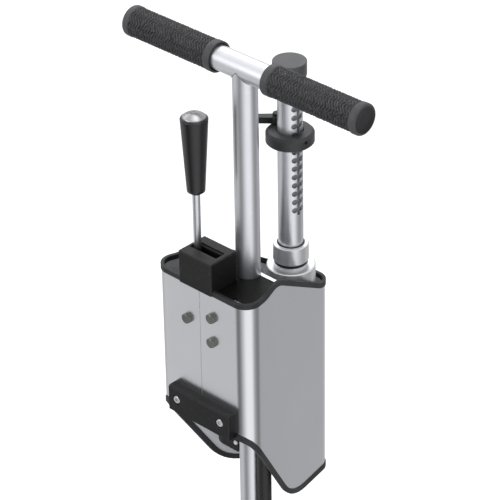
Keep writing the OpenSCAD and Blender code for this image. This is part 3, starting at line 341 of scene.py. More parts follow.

# "shade" is the colour of handled patches and the worn colour that of specks and edges, where on the edges it is partly
# wear and partly a painted highlight; "grain" is how often the grain repeats along X, Y and Z in a metre, "depth" its
# bump, "radius" that of the soft edges, "marks" the patches in a metre, "rings" the pitch of turning marks and "shine"
# the specular level
finishes = {
    "drawnTube": {"color": (0.67, 0.68, 0.71, 1), "shade": (0.64, 0.65, 0.68, 1), "wornAndHighlight": grey(0.85), "metallic": 0.94,
                  "rough": (0.33, 0.38), "grain": (900, 900, 10), "depth": 0.000001, "radius": 0.0004, "marks": 9},
    "drawnBar": {"color": (0.69, 0.70, 0.73, 1), "shade": (0.67, 0.68, 0.71, 1), "wornAndHighlight": grey(0.85), "metallic": 0.94,
                 "rough": (0.31, 0.35), "grain": (10, 900, 900), "depth": 0.0000006, "radius": 0.0004, "marks": 9},
    "housingSheet": {"color": (0.66, 0.668, 0.69, 1), "shade": (0.64, 0.647, 0.670, 1), "wornAndHighlight": grey(0.82),
                     "metallic": 0.86, "rough": (0.24, 0.28), "grain": (60, 60, 1400), "depth": 0.0000002,
                     "radius": 0.0003, "marks": 6, "edgeWearAndHighlight": 0.12, "specks": 0.06, "insideMetal": 0.1,
                     "centre": shellMiddle},
    "trimRubber": {"color": (0.024, 0.0245, 0.027, 1), "shade": (0.018, 0.0185, 0.020, 1), "wornAndHighlight": grey(0.05),
                   "rough": (0.45, 0.60), "grain": (700, 700, 700), "depth": 0.00004, "radius": 0.0009, "marks": 30,
                   "shine": 0.3},
    "sealRubber": {"color": grey(0.010), "shade": grey(0.007), "wornAndHighlight": grey(0.02), "rough": (0.40, 0.55),
                   "grain": (900, 900, 900), "depth": 0.00003, "radius": 0.0008, "marks": 40, "shine": 0.3},
    "lipRubber": {"color": grey(0.010), "shade": grey(0.008), "wornAndHighlight": grey(0.03), "rough": (0.50, 0.65),
                  "grain": (700, 700, 700), "depth": 0.00004, "radius": 0.0006, "marks": 40, "shine": 0.25},
    "turnedAluminium": {"color": (0.70, 0.71, 0.725, 1), "shade": (0.65, 0.66, 0.675, 1), "wornAndHighlight": grey(0.85),
                        "metallic": 0.75, "rough": (0.32, 0.40), "grain": (500, 500, 2200), "depth": 0.0000015,
                        "radius": 0.0005, "marks": 20, "rings": 0.0006},
    "deckAluminium": {"color": (0.78, 0.79, 0.80, 1), "shade": (0.70, 0.71, 0.725, 1), "wornAndHighlight": grey(0.9),
                      "metallic": 1.0, "rough": (0.26, 0.38), "grain": (12, 1100, 1100), "depth": 0.000003,
                      "radius": 0.0005, "marks": 14},
    "anodised": {"color": (0.095, 0.096, 0.101, 1), "shade": (0.092, 0.093, 0.097, 1), "wornAndHighlight": grey(0.18),
                 "rough": (0.40, 0.50), "grain": (1600, 1600, 1600), "depth": 0.00002, "radius": 0.0005, "marks": 25,
                 "rings": 0.0009, "shine": 0.35, "metallic": 0.45},
    "collarBlack": {"color": (0.038, 0.0385, 0.041, 1), "shade": (0.031, 0.0315, 0.0335, 1), "wornAndHighlight": grey(0.12),
                    "rough": (0.38, 0.48), "grain": (1600, 1600, 1600), "depth": 0.00002, "radius": 0.0006, "marks": 25,
                    "rings": 0.0009, "metallic": 0.3, "shine": 0.4},
    "blackPlate": {"color": grey(0.003), "shade": grey(0.0024), "wornAndHighlight": grey(0.02), "rough": (0.36, 0.50),
                   "grain": (1200, 1200, 1200), "depth": 0.00003, "radius": 0.0005, "marks": 20, "shine": 0.12},
    "mouldedBlack": {"color": (0.0058, 0.0058, 0.0065, 1), "shade": (0.0046, 0.0046, 0.0052, 1), "wornAndHighlight": grey(0.13),
                     "rough": (0.44, 0.56), "grain": (1500, 1500, 1500), "depth": 0.00004, "radius": 0.0012,
                     "marks": 18, "shine": 0.25},
    "knobGloss": {"color": (0.005, 0.005, 0.0065, 1), "shade": (0.004, 0.004, 0.005, 1), "wornAndHighlight": grey(0.03),
                  "rough": (0.26, 0.32), "grain": (500, 500, 500), "depth": 0.00001, "radius": 0.0008, "marks": 24,
                  "shine": 0.5},
    # grey metal of the crown disc, a painted reflection of the knob's bright top
    "crownSheenFinish": {"color": (0.40, 0.40, 0.41, 1), "shade": (0.36, 0.36, 0.37, 1), "wornAndHighlight": grey(0.45),
                   "metallic": 1.0, "rough": (0.36, 0.42), "grain": (900, 900, 900), "depth": 0.0000008,
                   "radius": 0.0003, "marks": 60},
    "polishedSteel": {"color": (0.64, 0.65, 0.68, 1), "shade": (0.58, 0.59, 0.62, 1), "wornAndHighlight": grey(0.85),
                      "metallic": 1.0, "rough": (0.26, 0.36), "grain": (1500, 1500, 30), "depth": 0.000001,
                      "radius": 0.0003, "marks": 30},
    "blackOxide": {"color": grey(0.010), "shade": grey(0.007), "wornAndHighlight": grey(0.05), "rough": (0.34, 0.48),
                   "grain": (1400, 1400, 1400), "depth": 0.00002, "radius": 0.0004, "marks": 40, "shine": 0.35},
    "zincPlate": {"color": (0.17, 0.17, 0.158, 1), "shade": (0.13, 0.13, 0.12, 1), "wornAndHighlight": grey(0.40),
                  "metallic": 1.0, "rough": (0.22, 0.32), "grain": (900, 900, 900), "depth": 0.00001,
                  "radius": 0.0005, "marks": 60},
    "brassTurned": {"color": (0.66, 0.52, 0.26, 1), "shade": (0.55, 0.42, 0.20, 1), "wornAndHighlight": (0.8, 0.68, 0.4, 1),
                    "metallic": 1.0, "rough": (0.22, 0.34), "grain": (1800, 300, 300), "depth": 0.000008,
                    "radius": 0.0004, "marks": 40},
    "slotShade": {"color": (0.20, 0.203, 0.215, 1), "shade": (0.15, 0.153, 0.163, 1), "wornAndHighlight": grey(0.3),
                  "metallic": 0.5, "rough": (0.34, 0.46), "grain": (900, 900, 10), "depth": 0.000002,
                  "radius": 0.0002, "marks": 30},
    "weldSeam": {"color": (0.34, 0.34, 0.35, 1), "shade": (0.24, 0.24, 0.25, 1), "wornAndHighlight": grey(0.3), "metallic": 1.0,
                 "rough": (0.40, 0.60), "grain": (900, 900, 900), "depth": 0.00003, "radius": 0.0002, "marks": 90},
    "castGrey": {"color": grey(0.085), "shade": grey(0.066), "wornAndHighlight": grey(0.20), "rough": (0.46, 0.62),
                 "grain": (420, 420, 420), "depth": 0.00012, "radius": 0.0012, "marks": 14},
}


def makeFinish(name, look):
    look = {**finishDefaults, **look}
    mat, tree = newMaterial(name)
    place = addNode(tree, "ShaderNodeTexCoord").outputs["Object"]
    grain = useGroup(tree, grainGroup, {"Vector": place, "Stretch": look["grain"]})["Grain"]
    marks = useGroup(tree, marksGroup, {"Vector": place, "Scale": look["marks"]})
    edges = useGroup(tree, edgeGroup, {"Radius": look["radius"]})
    color = mixColors(tree, marks["Marks"], look["color"], look["shade"])
    color = mixColors(tree, maths(tree, "MULTIPLY", marks["Specks"], look["specks"]), color, look["wornAndHighlight"])
    # the edges take the worn colour, partly as wear and partly as a painted highlight along them
    color = mixColors(tree, maths(tree, "MULTIPLY", edges["Edge"], look["edgeWearAndHighlight"]), color, look["wornAndHighlight"])
    low, high = look["rough"]
    patches = maths(tree, "MULTIPLY", marks["Marks"], 1 - look["grainShare"])
    share = maths(tree, "MULTIPLY_ADD", grain, look["grainShare"], patches)
    height = grain
    if "rings" in look:
        rings = useGroup(tree, ringGroup, {"Vector": place, "Pitch": look["rings"]})["Rings"]
        height = maths(tree, "MULTIPLY_ADD", rings, look["ringShare"], grain)
    bump = addNode(tree, "ShaderNodeBump", {"Height": height, "Distance": look["depth"], "Normal": edges["Normal"]})
    shader = addNode(tree, "ShaderNodeBsdfPrincipled", {
        "Base Color": color, "Roughness": spread(tree, share, low, high), "Normal": bump.outputs[0]})
    if "insideMetal" in look:
        # the sheet's inner side is left duller than its outer side
        inside = useGroup(tree, insideGroup, {"Vector": place, "Centre": look["centre"]})["Inside"]
        tree.links.new(spread(tree, inside, 0, 1, look["metallic"], look["insideMetal"]), shader.inputs["Metallic"])
    else:
        shader.inputs["Metallic"].default_value = look.get("metallic", 0.0)
    shader.inputs["Specular IOR Level"].default_value = look.get("shine", 0.5)
    addNode(tree, "ShaderNodeOutputMaterial", {"Surface": shader.outputs[0]})
    return mat


made = {name: makeFinish(name, look) for name, look in finishes.items()}

# which finish each CAD node gets
dressing = {
    "drawnTube": ["main_tube", "plunger_tube", "barrel", "probe", "feed_tube", "upper_saddle", "lower_saddle"],
    "drawnBar": ["crossbar", "transfer_pipe"],
    "housingSheet": ["housing_left", "housing_right", "rear_strip"],
    "trimRubber": ["rim_trim", "lower_trim"],
    "lipRubber": ["slot_gasket"],
    "sealRubber": ["gland_seal", "wiper_ring", "piston_rings"],
    "turnedAluminium": ["barrel_top_cap", "barrel_low_cap", "gland_nut", "piston", "outlet_elbow"],
    "deckAluminium": ["deck"],
    "anodised": ["plunger_cap"],
    "collarBlack": ["stop_collar"],
    "blackPlate": ["top_plate"],
    "mouldedBlack": ["gate_block", "valve_body", "lower_bar", "manifold"],
    "knobGloss": ["lever_knob"],
    "polishedSteel": ["lever_rod", "pivot_pin", "valve_spool", "bar_screws", "hose_fitting", "probe_tip"],
    "blackOxide": ["lever_hub", "guide_screw", "lock_screw", "lock_lever", "hose_clips"],
    "zincPlate": ["hex_bolts", "hex_nuts", "rear_rivets", "front_bracket", "lower_bracket"],
    "brassTurned": ["supply_nipple"],
    "castGrey": ["step_hub", "foot_step"],
}


def dress(node, mat):
    piece = nodes[node]
    if not piece.material_slots:
        piece.data.materials.append(mat)
    for slot in piece.material_slots:
        slot.material = mat


for finish, members in dressing.items():
    for node in members:
        dress(node, made[finish])
print("finishes made:", len(made))


def makeRidged(name, look):
    # a rubber or braid with painted shade in the valleys between its raised parts, read from the piece's own "ridge"
    # attribute
    mat, tree = newMaterial(name)
    place = addNode(tree, "ShaderNodeTexCoord").outputs["Object"]
    grain = useGroup(tree, grainGroup, {"Vector": place, "Stretch": look["grain"]})["Grain"]
    marks = useGroup(tree, marksGroup, {"Vector": place, "Scale": look["marks"]})
    ridge = addNode(tree, "ShaderNodeAttribute", attribute_name="ridge").outputs["Fac"]
    crest = spread(tree, ridge, 0, 1, *look["crest"])
    # the valleys take a near-black colour, painted shade between the ridges
    color = mixColors(tree, crest, look["valleyShade"], look["color"])
    color = mixColors(tree, maths(tree, "MULTIPLY", marks["Marks"], look["patches"]), color, look["shade"])
    color = mixColors(tree, maths(tree, "MULTIPLY", marks["Specks"], look["specks"]), color, look["wornAndHighlight"])
    low, high = look["rough"]
    bump = addNode(tree, "ShaderNodeBump", {"Height": grain, "Distance": look["depth"]})
    shader = addNode(tree, "ShaderNodeBsdfPrincipled", {
        "Base Color": color, "Roughness": spread(tree, grain, low, high), "Normal": bump.outputs[0],
        "Specular IOR Level": look["shine"]})
    addNode(tree, "ShaderNodeOutputMaterial", {"Surface": shader.outputs[0]})
    return mat


# the valley colour is the painted shade between the ridges, and "crest" where in the ridge's height it gives way
gripLook = {
    "color": (0.068, 0.068, 0.073, 1), "valleyShade": (0.0005, 0.0005, 0.0006, 1), "shade": (0.040, 0.040, 0.043, 1),
    "crest": (0.42, 0.98), "wornAndHighlight": grey(0.08), "rough": (0.42, 0.56), "grain": (1300, 1300, 1300), "marks": 30,
    "depth": 0.00003, "shine": 0.35, "patches": 0.5, "specks": 0.2,
}
braidLook = {
    "color": (0.0070, 0.0072, 0.0080, 1), "valleyShade": (0.0009, 0.0009, 0.0009, 1), "shade": (0.005, 0.005, 0.0058, 1),
    "crest": (0.32, 0.98), "wornAndHighlight": grey(0.08), "rough": (0.34, 0.50), "grain": (1600, 1600, 1600), "marks": 40,
    "depth": 0.00003, "shine": 0.45, "patches": 0.5, "specks": 0.2,
}
gripRubber = makeRidged("gripRubber", gripLook)
hoseBraid = makeRidged("hoseBraid", braidLook)
print("patterned finishes made")


def latheMesh(name, rows, steps, axisPoint, along):
    # rows are (distance along the axis, radius); a radius of 0 closes the piece in one point
    mesh = bmesh.new()
    side = Vector((0, 1, 0)) if abs(along.x) > abs(along.z) else Vector((1, 0, 0))
    other = along.cross(side)
    rings = []
    for far, radius in rows:
        if radius <= 0:
            rings.append([mesh.verts.new(axisPoint + along * far)])
            continue
        ring = []
        for i in range(steps):
            turn = 2 * math.pi * i / steps
            outward = side * math.cos(turn) + other * math.sin(turn)
            ring.append(mesh.verts.new(axisPoint + along * far + outward * radius))
        rings.append(ring)
    for first, second in zip(rings, rings[1:]):
        for i in range(steps):
            j = (i + 1) % steps
            if len(first) == 1:
                mesh.faces.new((first[0], second[j], second[i]))
            elif len(second) == 1:
                mesh.faces.new((first[i], first[j], second[0]))
            else:
                mesh.faces.new((first[i], first[j], second[j], second[i]))
    bmesh.ops.recalc_face_normals(mesh, faces=mesh.faces)
    data = bpy.data.meshes.new(name)
    mesh.to_mesh(data)
    mesh.free()
    data.shade_smooth()
    piece = bpy.data.objects.new(name, data)
    scene.collection.objects.link(piece)
    return piece


def treeWith(name, inputs):
    tree = bpy.data.node_groups.new(name, "GeometryNodeTree")
    tree.interface.new_socket(name="Geometry", in_out="INPUT", socket_type="NodeSocketGeometry")
    for label, value in inputs.items():
        kind = "NodeSocketVector" if isinstance(value, tuple) else "NodeSocketFloat"
        tree.interface.new_socket(name=label, in_out="INPUT", socket_type=kind)
    tree.interface.new_socket(name="Geometry", in_out="OUTPUT", socket_type="NodeSocketGeometry")
    return tree, tree.nodes.new("NodeGroupInput").outputs


def endTree(tree, geometry, mat):
    real = addNode(tree, "GeometryNodeRealizeInstances", {"Geometry": geometry}).outputs["Geometry"]
    done = addNode(tree, "GeometryNodeSetMaterial", {"Geometry": real, "Material": mat}).outputs["Geometry"]
    addNode(tree, "NodeGroupOutput", {"Geometry": done})


def growPiece(name, host, tree, inputs):
    # runs the tree on the host and keeps the result as a plain mesh of that name
    modifier = host.modifiers.new("pattern", "NODES")
    modifier.node_group = tree
    for item in tree.interface.items_tree:
        if item.in_out == "INPUT" and item.name in inputs:
            modifier[item.identifier] = inputs[item.name]
    graph = bpy.context.evaluated_depsgraph_get()
    mesh = bpy.data.meshes.new_from_object(host.evaluated_get(graph), preserve_all_data_layers=True, depsgraph=graph)
    mesh.name = name
    bpy.data.objects.remove(host)
    piece = bpy.data.objects.new(name, mesh)
    scene.collection.objects.link(piece)
    return piece


def radialPlace(tree, given, across, up):
    # the turn round the axis and the outward direction, for an axis along the third coordinate
    spot = addNode(tree, "GeometryNodeInputPosition").outputs[0]
    fromAxis = addNode(tree, "ShaderNodeVectorMath", {0: spot, 1: given["Axis"]}, operation="SUBTRACT").outputs[0]
    xyz = addNode(tree, "ShaderNodeSeparateXYZ", {"Vector": fromAxis}).outputs
    turn = maths(tree, "DIVIDE", maths(tree, "ARCTAN2", xyz[up], xyz[across]), 2 * math.pi)
    flat = addNode(tree, "ShaderNodeCombineXYZ", {across: xyz[across], up: xyz[up]}).outputs[0]
    outward = addNode(tree, "ShaderNodeVectorMath", {0: flat}, operation="NORMALIZE").outputs[0]
    return fromAxis, xyz, turn, outward


def raiseRidge(tree, given, outward, height, depth):
    # moves the surface along the outward direction and keeps the ridge's height for the material
    far = maths(tree, "MULTIPLY", depth, given["Height"])
    offset = addNode(tree, "ShaderNodeVectorMath", {0: outward, "Scale": far}, operation="SCALE").outputs[0]
    moved = addNode(tree, "GeometryNodeSetPosition", {"Geometry": given["Geometry"], "Offset": offset})
    moved = moved.outputs["Geometry"]
    kept = addNode(tree, "GeometryNodeStoreNamedAttribute", {"Geometry": moved, "Name": "ridge", "Value": height},
                   data_type="FLOAT", domain="POINT")
    return kept.outputs["Geometry"]


grips = {
    "nodes": {"grip_left": -1, "grip_right": 1},
    "rowStep": 0.00052,      # distance between the rows of the patterned part
    "steps": 118,            # round the grip
    "band": 0.0078,          # plain band at each end
    "bandLip": 0.0004,       # how far a band stands above the pattern
    "endRound": 0.0026,
    "innerRound": 0.0006,
    "pitch": 0.0036,         # of the scales along the grip
    "scalesRound": 9.0,
    "height": 0.0015,
    "wave": 0.42,            # how much the scales curve, in pitches
    "stray": 1.3,            # how far noise pushes them about, in pitches
    "flutter": 0.10,         # a finer wave on top, in pitches, and how many of it go round
    "flutters": 13.0,
    "strayScale": 150.0,     # of that noise, in a metre
    "strayRound": 1.3,       # how much more of it goes round the grip than along
    "roundPower": 0.45,      # the scales' outline, lower is fuller
    "crestPower": 1.5,
    "crest": (0.30, 0.92),   # heights that count as valley and as crest
    "fade": 0.0012,          # length over which the pattern dies out at the bands
    "boreDepth": 0.0022,     # of the countersink round the crossbar
    "boreLip": 0.0008,
    "boreShade": 0.0012,
    "play": 0.00005,         # between grip and crossbar
    "dish": 0.0004,          # depth of the dished end
    "dishRadii": (0.72, 0.62, 0.3),   # its rim, its foot and a ring in its floor, in radii of the grip
}


def scaleTree():
    inputs = {"Axis": (0, 0, 0), "Pitch": 0.0, "Scales Round": 0.0, "Height": 0.0, "Wave": 0.0,
              "Stray": 0.0, "Bore": 0.0, "Start": 0.0, "End": 0.0}
    tree, given = treeWith("gripScales", inputs)
    fromAxis, xyz, turn, outward = radialPlace(tree, given, "Y", "Z")
    around = maths(tree, "MULTIPLY", turn, given["Scales Round"])
    bend = maths(tree, "SINE", maths(tree, "MULTIPLY", around, 2 * math.pi))
    flutter = maths(tree, "SINE", maths(tree, "MULTIPLY", turn, 2 * math.pi * grips["flutters"]))
    along = maths(tree, "DIVIDE", xyz["X"], given["Pitch"])
    along = maths(tree, "MULTIPLY_ADD", bend, given["Wave"], along)
    along = maths(tree, "MULTIPLY_ADD", flutter, grips["flutter"], along)
    noise = addNode(tree, "ShaderNodeTexNoise", {"Scale": grips["strayScale"], "Detail": 1.0})
    push = maths(tree, "MULTIPLY", maths(tree, "SUBTRACT", noise.outputs["Fac"], 0.5), given["Stray"])
    along = maths(tree, "ADD", along, push)
    around = maths(tree, "MULTIPLY_ADD", push, grips["strayRound"], around)

    def scale(operation):
        # one of the two interlocking sets of long scales
        narrow = maths(tree, "ABSOLUTE", maths(tree, operation, maths(tree, "MULTIPLY", along, math.pi)))
        wide = maths(tree, "ABSOLUTE", maths(tree, operation, maths(tree, "MULTIPLY", around, math.pi)))
        return maths(tree, "MULTIPLY", narrow, maths(tree, "POWER", wide, grips["roundPower"]))

    crest = maths(tree, "MAXIMUM", scale("COSINE"), scale("SINE"))
    crest = spread(tree, maths(tree, "POWER", crest, grips["crestPower"]), 0, 1, *grips["crest"])
    inFrom = maths(tree, "ADD", given["Start"], grips["fade"])
    outTo = maths(tree, "SUBTRACT", given["End"], grips["fade"])
    rise = spread(tree, xyz["X"], 0, 1, given["Start"], inFrom)
    fall = spread(tree, xyz["X"], 0, 1, given["End"], outTo)
    depth = maths(tree, "MULTIPLY", maths(tree, "SUBTRACT", crest, 1.0), maths(tree, "MULTIPLY", rise, fall))
    # the countersink at the inner end is painted dark with the valley colour, as painted shade in the gap round the
    # crossbar
    reach = addNode(tree, "ShaderNodeVectorMath", {0: outward, 1: fromAxis}, operation="DOT_PRODUCT").outputs["Value"]
    outside = spread(tree, reach, 0, 1, given["Bore"], maths(tree, "ADD", given["Bore"], grips["boreShade"]))
    height = maths(tree, "MULTIPLY", maths(tree, "ADD", depth, 1.0), outside)
    endTree(tree, raiseRidge(tree, given, outward, height, depth), gripRubber)
    return tree


def gripRows(length, radius, bore):
    band, lip, end, inner = (grips[k] for k in ("band", "bandLip", "endRound", "innerRound"))
    rows = [(grips["boreDepth"], bore), (0, radius - inner - grips["boreLip"]), (0, radius - inner)]
    rows += [(inner * 0.3, radius - inner * 0.3), (inner, radius)]
    rows += [(inner + (band - 2 * inner) * i / 4, radius) for i in range(1, 5)]
    rows.append((band, radius - lip))
    count = round((length - 2 * band) / grips["rowStep"])
    rows += [(band + (length - 2 * band) * i / count, radius - lip) for i in range(1, count)]
    rows.append((length - band, radius - lip))
    start = length - band + inner
    rows += [(start + (length - end - start) * i / 4, radius) for i in range(5)]
    for i in range(1, 7):
        turn = math.pi / 2 * i / 6
        rows.append((length - end + end * math.sin(turn), radius - end + end * math.cos(turn)))
    rim, foot, floor = (radius * share for share in grips["dishRadii"])
    bottom = length - grips["dish"]
    rows += [(length - 0.00005, rim), (bottom, foot), (bottom, floor), (bottom, 0)]
    return rows


def addGrips():
    tree = scaleTree()
    for node, side in grips["nodes"].items():
        low, high = boxOf(node)
        radius = (high.z - low.z) / 2
        length = high.x - low.x
        inner = low.x if side > 0 else high.x
        host = latheMesh(node + "Host", gripRows(length, radius, barRadius + grips["play"]), grips["steps"],
                         Vector((inner, 0, barZ)), Vector((side, 0, 0)))
        ends = sorted((inner + side * grips["band"], inner + side * (length - grips["band"])))
        piece = growPiece("scaledGrip" + ("Right" if side > 0 else "Left"), host, tree, {
            "Axis": (0, 0, barZ), "Pitch": grips["pitch"], "Scales Round": grips["scalesRound"],
            "Height": grips["height"], "Wave": grips["wave"], "Stray": grips["stray"],
            "Bore": barRadius + 2 * grips["play"], "Start": ends[0], "End": ends[1]})
        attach(piece, "frame")
        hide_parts(node)


addGrips()
print("grips made")

hose = {
    "steps": 96,
    "rowStep": 0.00058,
    "strands": 14.0,         # in each direction round the hose
    "lay": 0.0062,           # rise of the braid from one strand to the next
    "height": 0.00042,
    "endLip": 0.002,
}


def braidTree():
    inputs = {"Axis": (0, 0, 0), "Strands": 0.0, "Lay": 0.0, "Height": 0.0}
    tree, given = treeWith("hoseBraid", inputs)
    fromAxis, xyz, turn, outward = radialPlace(tree, given, "X", "Y")
    around = maths(tree, "MULTIPLY", turn, given["Strands"])
    climb = maths(tree, "DIVIDE", xyz["Z"], given["Lay"])
    crowns = []
    counts = []
    for operation in ("ADD", "SUBTRACT"):
        strand = maths(tree, operation, around, climb)
        part = maths(tree, "MULTIPLY_ADD", maths(tree, "FRACT", strand), 2.0, -1.0)
        crowns.append(maths(tree, "SUBTRACT", 1.0, maths(tree, "MULTIPLY", part, part)))
        counts.append(maths(tree, "FLOOR", strand))
    over = maths(tree, "FLOORED_MODULO", maths(tree, "ADD", *counts), 2.0)
    under = maths(tree, "SUBTRACT", 1.0, over)
    crest = maths(tree, "MULTIPLY_ADD", over, crowns[0], maths(tree, "MULTIPLY", under, crowns[1]))
    depth = maths(tree, "SUBTRACT", crest, 1.0)
    endTree(tree, raiseRidge(tree, given, outward, crest, depth), hoseBraid)
    return tree


def addHose():
    low, high = boxOf("hose")
    axis = (low + high) / 2
    radius = (high.x - low.x) / 2
    length = high.z - low.z
    count = round(length / hose["rowStep"])
    lip = radius - hose["endLip"]
    rows = [(0, lip)] + [(length * i / count, radius) for i in range(count + 1)] + [(length, lip)]
    host = latheMesh("hoseHost", rows, hose["steps"], Vector((axis.x, axis.y, low.z)), Vector((0, 0, 1)))
    piece = growPiece("braidedHose", host, braidTree(), {
        "Axis": (axis.x, axis.y, 0), "Strands": hose["strands"], "Lay": hose["lay"], "Height": hose["height"]})
    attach(piece, "frame")
    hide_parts("hose")


addHose()
print("hose braided")

weld = {
    "spacing": 0.0009,
    "bead": 0.00055,
    "sizes": (0.88, 1.08),   # smallest and largest bead, in beads
    "turns": (0.0, 3.1),
    "sizeSeed": 7,
    "turnSeed": 3,
    "outward": 1.01,         # the bead's line, in radii of the tube
    "below": 0.0002,         # and how far it lies below the crossbar
    "steps": 96,
}


def beadTree():
    tree, given = treeWith("weldBead", {"Spacing": 0.0, "Bead": 0.0})
    line = addNode(tree, "GeometryNodeMeshToCurve", {"Mesh": given["Geometry"]}).outputs["Curve"]
    points = addNode(tree, "GeometryNodeResampleCurve", {"Curve": line, "Length": given["Spacing"]}, mode="LENGTH")
    ball = addNode(tree, "GeometryNodeMeshIcoSphere", {"Radius": given["Bead"], "Subdivisions": 2}).outputs["Mesh"]
    # 2 and 3 are the lowest and highest value of a Random Value node set to FLOAT
    sizes = {2: weld["sizes"][0], 3: weld["sizes"][1], "Seed": weld["sizeSeed"]}
    turns = {2: weld["turns"][0], 3: weld["turns"][1], "Seed": weld["turnSeed"]}
    jitter = addNode(tree, "FunctionNodeRandomValue", sizes, data_type="FLOAT").outputs[1]
    spun = addNode(tree, "FunctionNodeRandomValue", turns, data_type="FLOAT").outputs[1]
    turn = addNode(tree, "ShaderNodeCombineXYZ", {"X": spun, "Y": spun, "Z": spun}).outputs[0]
    size = addNode(tree, "ShaderNodeCombineXYZ", {"X": jitter, "Y": jitter, "Z": jitter}).outputs[0]
    beads = addNode(tree, "GeometryNodeInstanceOnPoints", {
        "Points": points.outputs["Curve"], "Instance": ball, "Rotation": turn, "Scale": size}).outputs["Instances"]
    real = addNode(tree, "GeometryNodeRealizeInstances", {"Geometry": beads}).outputs["Geometry"]
    smooth = addNode(tree, "GeometryNodeSetShadeSmooth", {"Geometry": real}).outputs["Geometry"]
    endTree(tree, smooth, made["weldSeam"])
    return tree


def addWeld():
    # the bead lies where the tube meets the crossbar from below
    tubeLow, tubeHigh = boxOf("main_tube")
    radius = (tubeHigh.x - tubeLow.x) / 2
    steps, outward = weld["steps"], weld["outward"]
    spots = []
    for i in range(steps):
        turn = 2 * math.pi * i / steps
        x, y = radius * math.cos(turn), radius * math.sin(turn)
        drop = math.sqrt(max(barRadius ** 2 - y * y, 0))
        spots.append((x * outward, y * outward, barZ - drop - weld["below"]))
    mesh = bpy.data.meshes.new("weldLine")
    mesh.from_pydata(spots, [(i, (i + 1) % steps) for i in range(steps)], [])
    host = bpy.data.objects.new("weldLine", mesh)
    scene.collection.objects.link(host)
    piece = growPiece("weldBead", host, beadTree(), {"Spacing": weld["spacing"], "Bead": weld["bead"]})
    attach(piece, "frame")


addWeld()
print("weld laid")

doseRail = {
    "steps": 64,
    "rows": 40,
    "plungerWall": 0.0022,
    "under": 0.00035,        # play between it and the plunger tube
    "wall": 0.0012,
    "lowNotch": 0.0524,      # height of the lowest dose notch above the deck
    "reach": 0.012,          # how far it goes on past the notches
}


def addDoseRail():
    # the inner tube that shows through the long slot and the dose notches
    low, high = boxOf("plunger_tube")
    axis = (low + high) / 2
    radius = (high.x - low.x) / 2 - doseRail["plungerWall"] - doseRail["under"]
    inner = radius - doseRail["wall"]
    top = high.z - doseRail["reach"]
    bottom = deckZ + doseRail["lowNotch"] - doseRail["reach"]
    heights = [(top - bottom) * i / doseRail["rows"] for i in range(doseRail["rows"] + 1)]
    rows = [(0, inner)] + [(far, radius) for far in heights] + [(top - bottom, inner)]
    rows += [(far, inner) for far in reversed(heights[1:])]
    piece = latheMesh("doseRail", rows, doseRail["steps"], Vector((axis.x, axis.y, bottom)), Vector((0, 0, 1)))
    piece.data.materials.append(made["slotShade"])
    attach(piece, "plunger")


addDoseRail()
print("dose rail placed")

knob = {
    "bottom": 0.0940,        # heights above the deck
    "shoulder": 0.1798,
    "crown": 0.1863,
    "radius": 0.01425,
    "lowRadius": 0.0094,
    "neck": 0.0052,
    "chamfer": 0.0036,
    "round": 0.0010,
    "domeShare": 0.6,        # how much of the shoulder's round the dome gives up
    "bore": 0.0044,          # radius and depth of the rod's hole
    "boreDepth": 0.008,
    "dimple": 0.0020,
    "dimpleDepth": 0.0005,
    "sheenDisc": 0.0120,         # radius of the grey disc in the crown that paints its bright reflection
    "proud": 0.00012,
    "steps": 96,
}


def crownHeight(radius, dome):
    # height of the domed crown over the knob's bottom, with the dimple in its middle
    shoulder, crown = knob["shoulder"] - knob["bottom"], knob["crown"] - knob["bottom"]
    sink = knob["dimpleDepth"] * math.exp(-(radius / knob["dimple"]) ** 2)
    return shoulder + (crown - shoulder) * (1 - (radius / dome) ** 2) - sink


def addKnob():
    low, high = boxOf("lever_knob")
    foot = Vector(((low.x + high.x) / 2, (low.y + high.y) / 2, deckZ + knob["bottom"]))
    shoulder = knob["shoulder"] - knob["bottom"]
    chamfer, edge, bore = knob["chamfer"], knob["round"], knob["bore"]
    rows = [(knob["boreDepth"], bore), (0, bore)]
    rows += [(0, knob["neck"] - 0.0004), (0.0002, knob["neck"])]
    rows += [(chamfer - 0.0003, knob["lowRadius"] - 0.0003), (chamfer, knob["lowRadius"])]
    count = 24
    for i in range(1, count + 1):
        rows.append((chamfer + (shoulder - edge - chamfer) * i / count,
                     knob["lowRadius"] + (knob["radius"] - knob["lowRadius"]) * i / count))
    dome = knob["radius"] - edge * knob["domeShare"]
    for i in range(1, 5):
        turn = math.pi / 2 * i / 5
        rows.append((shoulder - edge * (1 - math.sin(turn)),
                     knob["radius"] - edge * knob["domeShare"] * (1 - math.cos(turn))))
    radii = [dome * (1 - i / 18) for i in range(1, 18)] + [0]
    rows += [(crownHeight(radius, dome), radius) for radius in radii]
    piece = latheMesh("gateKnob", rows, knob["steps"], foot, Vector((0, 0, 1)))
    piece.data.materials.append(made["knobGloss"])
    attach(piece, "gate_lever")
    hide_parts("lever_knob")
    # a grey metal disc lying in the crown, a little proud of it, whose colour paints the crown's bright reflection
    sheenDisc, proud = knob["sheenDisc"], knob["proud"]
    rows = [(shoulder, 0), (shoulder, sheenDisc * 0.4), (shoulder, sheenDisc)]
    radii = [sheenDisc * (1 - i / 17) for i in range(17)] + [0]
    rows += [(crownHeight(radius, dome) + proud, radius) for radius in radii]
    piece = latheMesh("knobCrownSheen", rows, knob["steps"], foot, Vector((0, 0, 1)))
    piece.data.materials.append(made["crownSheenFinish"])
    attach(piece, "gate_lever")


addKnob()
print("knob turned")


def meshOf(piece):
    # the finished mesh of a piece, with its modifiers, as points and triangles
    graph = bpy.context.evaluated_depsgraph_get()
    shape = piece.evaluated_get(graph).to_mesh()
    shape.calc_loop_triangles()
    points = [vertex.co.copy() for vertex in shape.vertices]
    triangles = [tuple(face.vertices) for face in shape.loop_triangles]
    piece.evaluated_get(graph).to_mesh_clear()
    return points, triangles


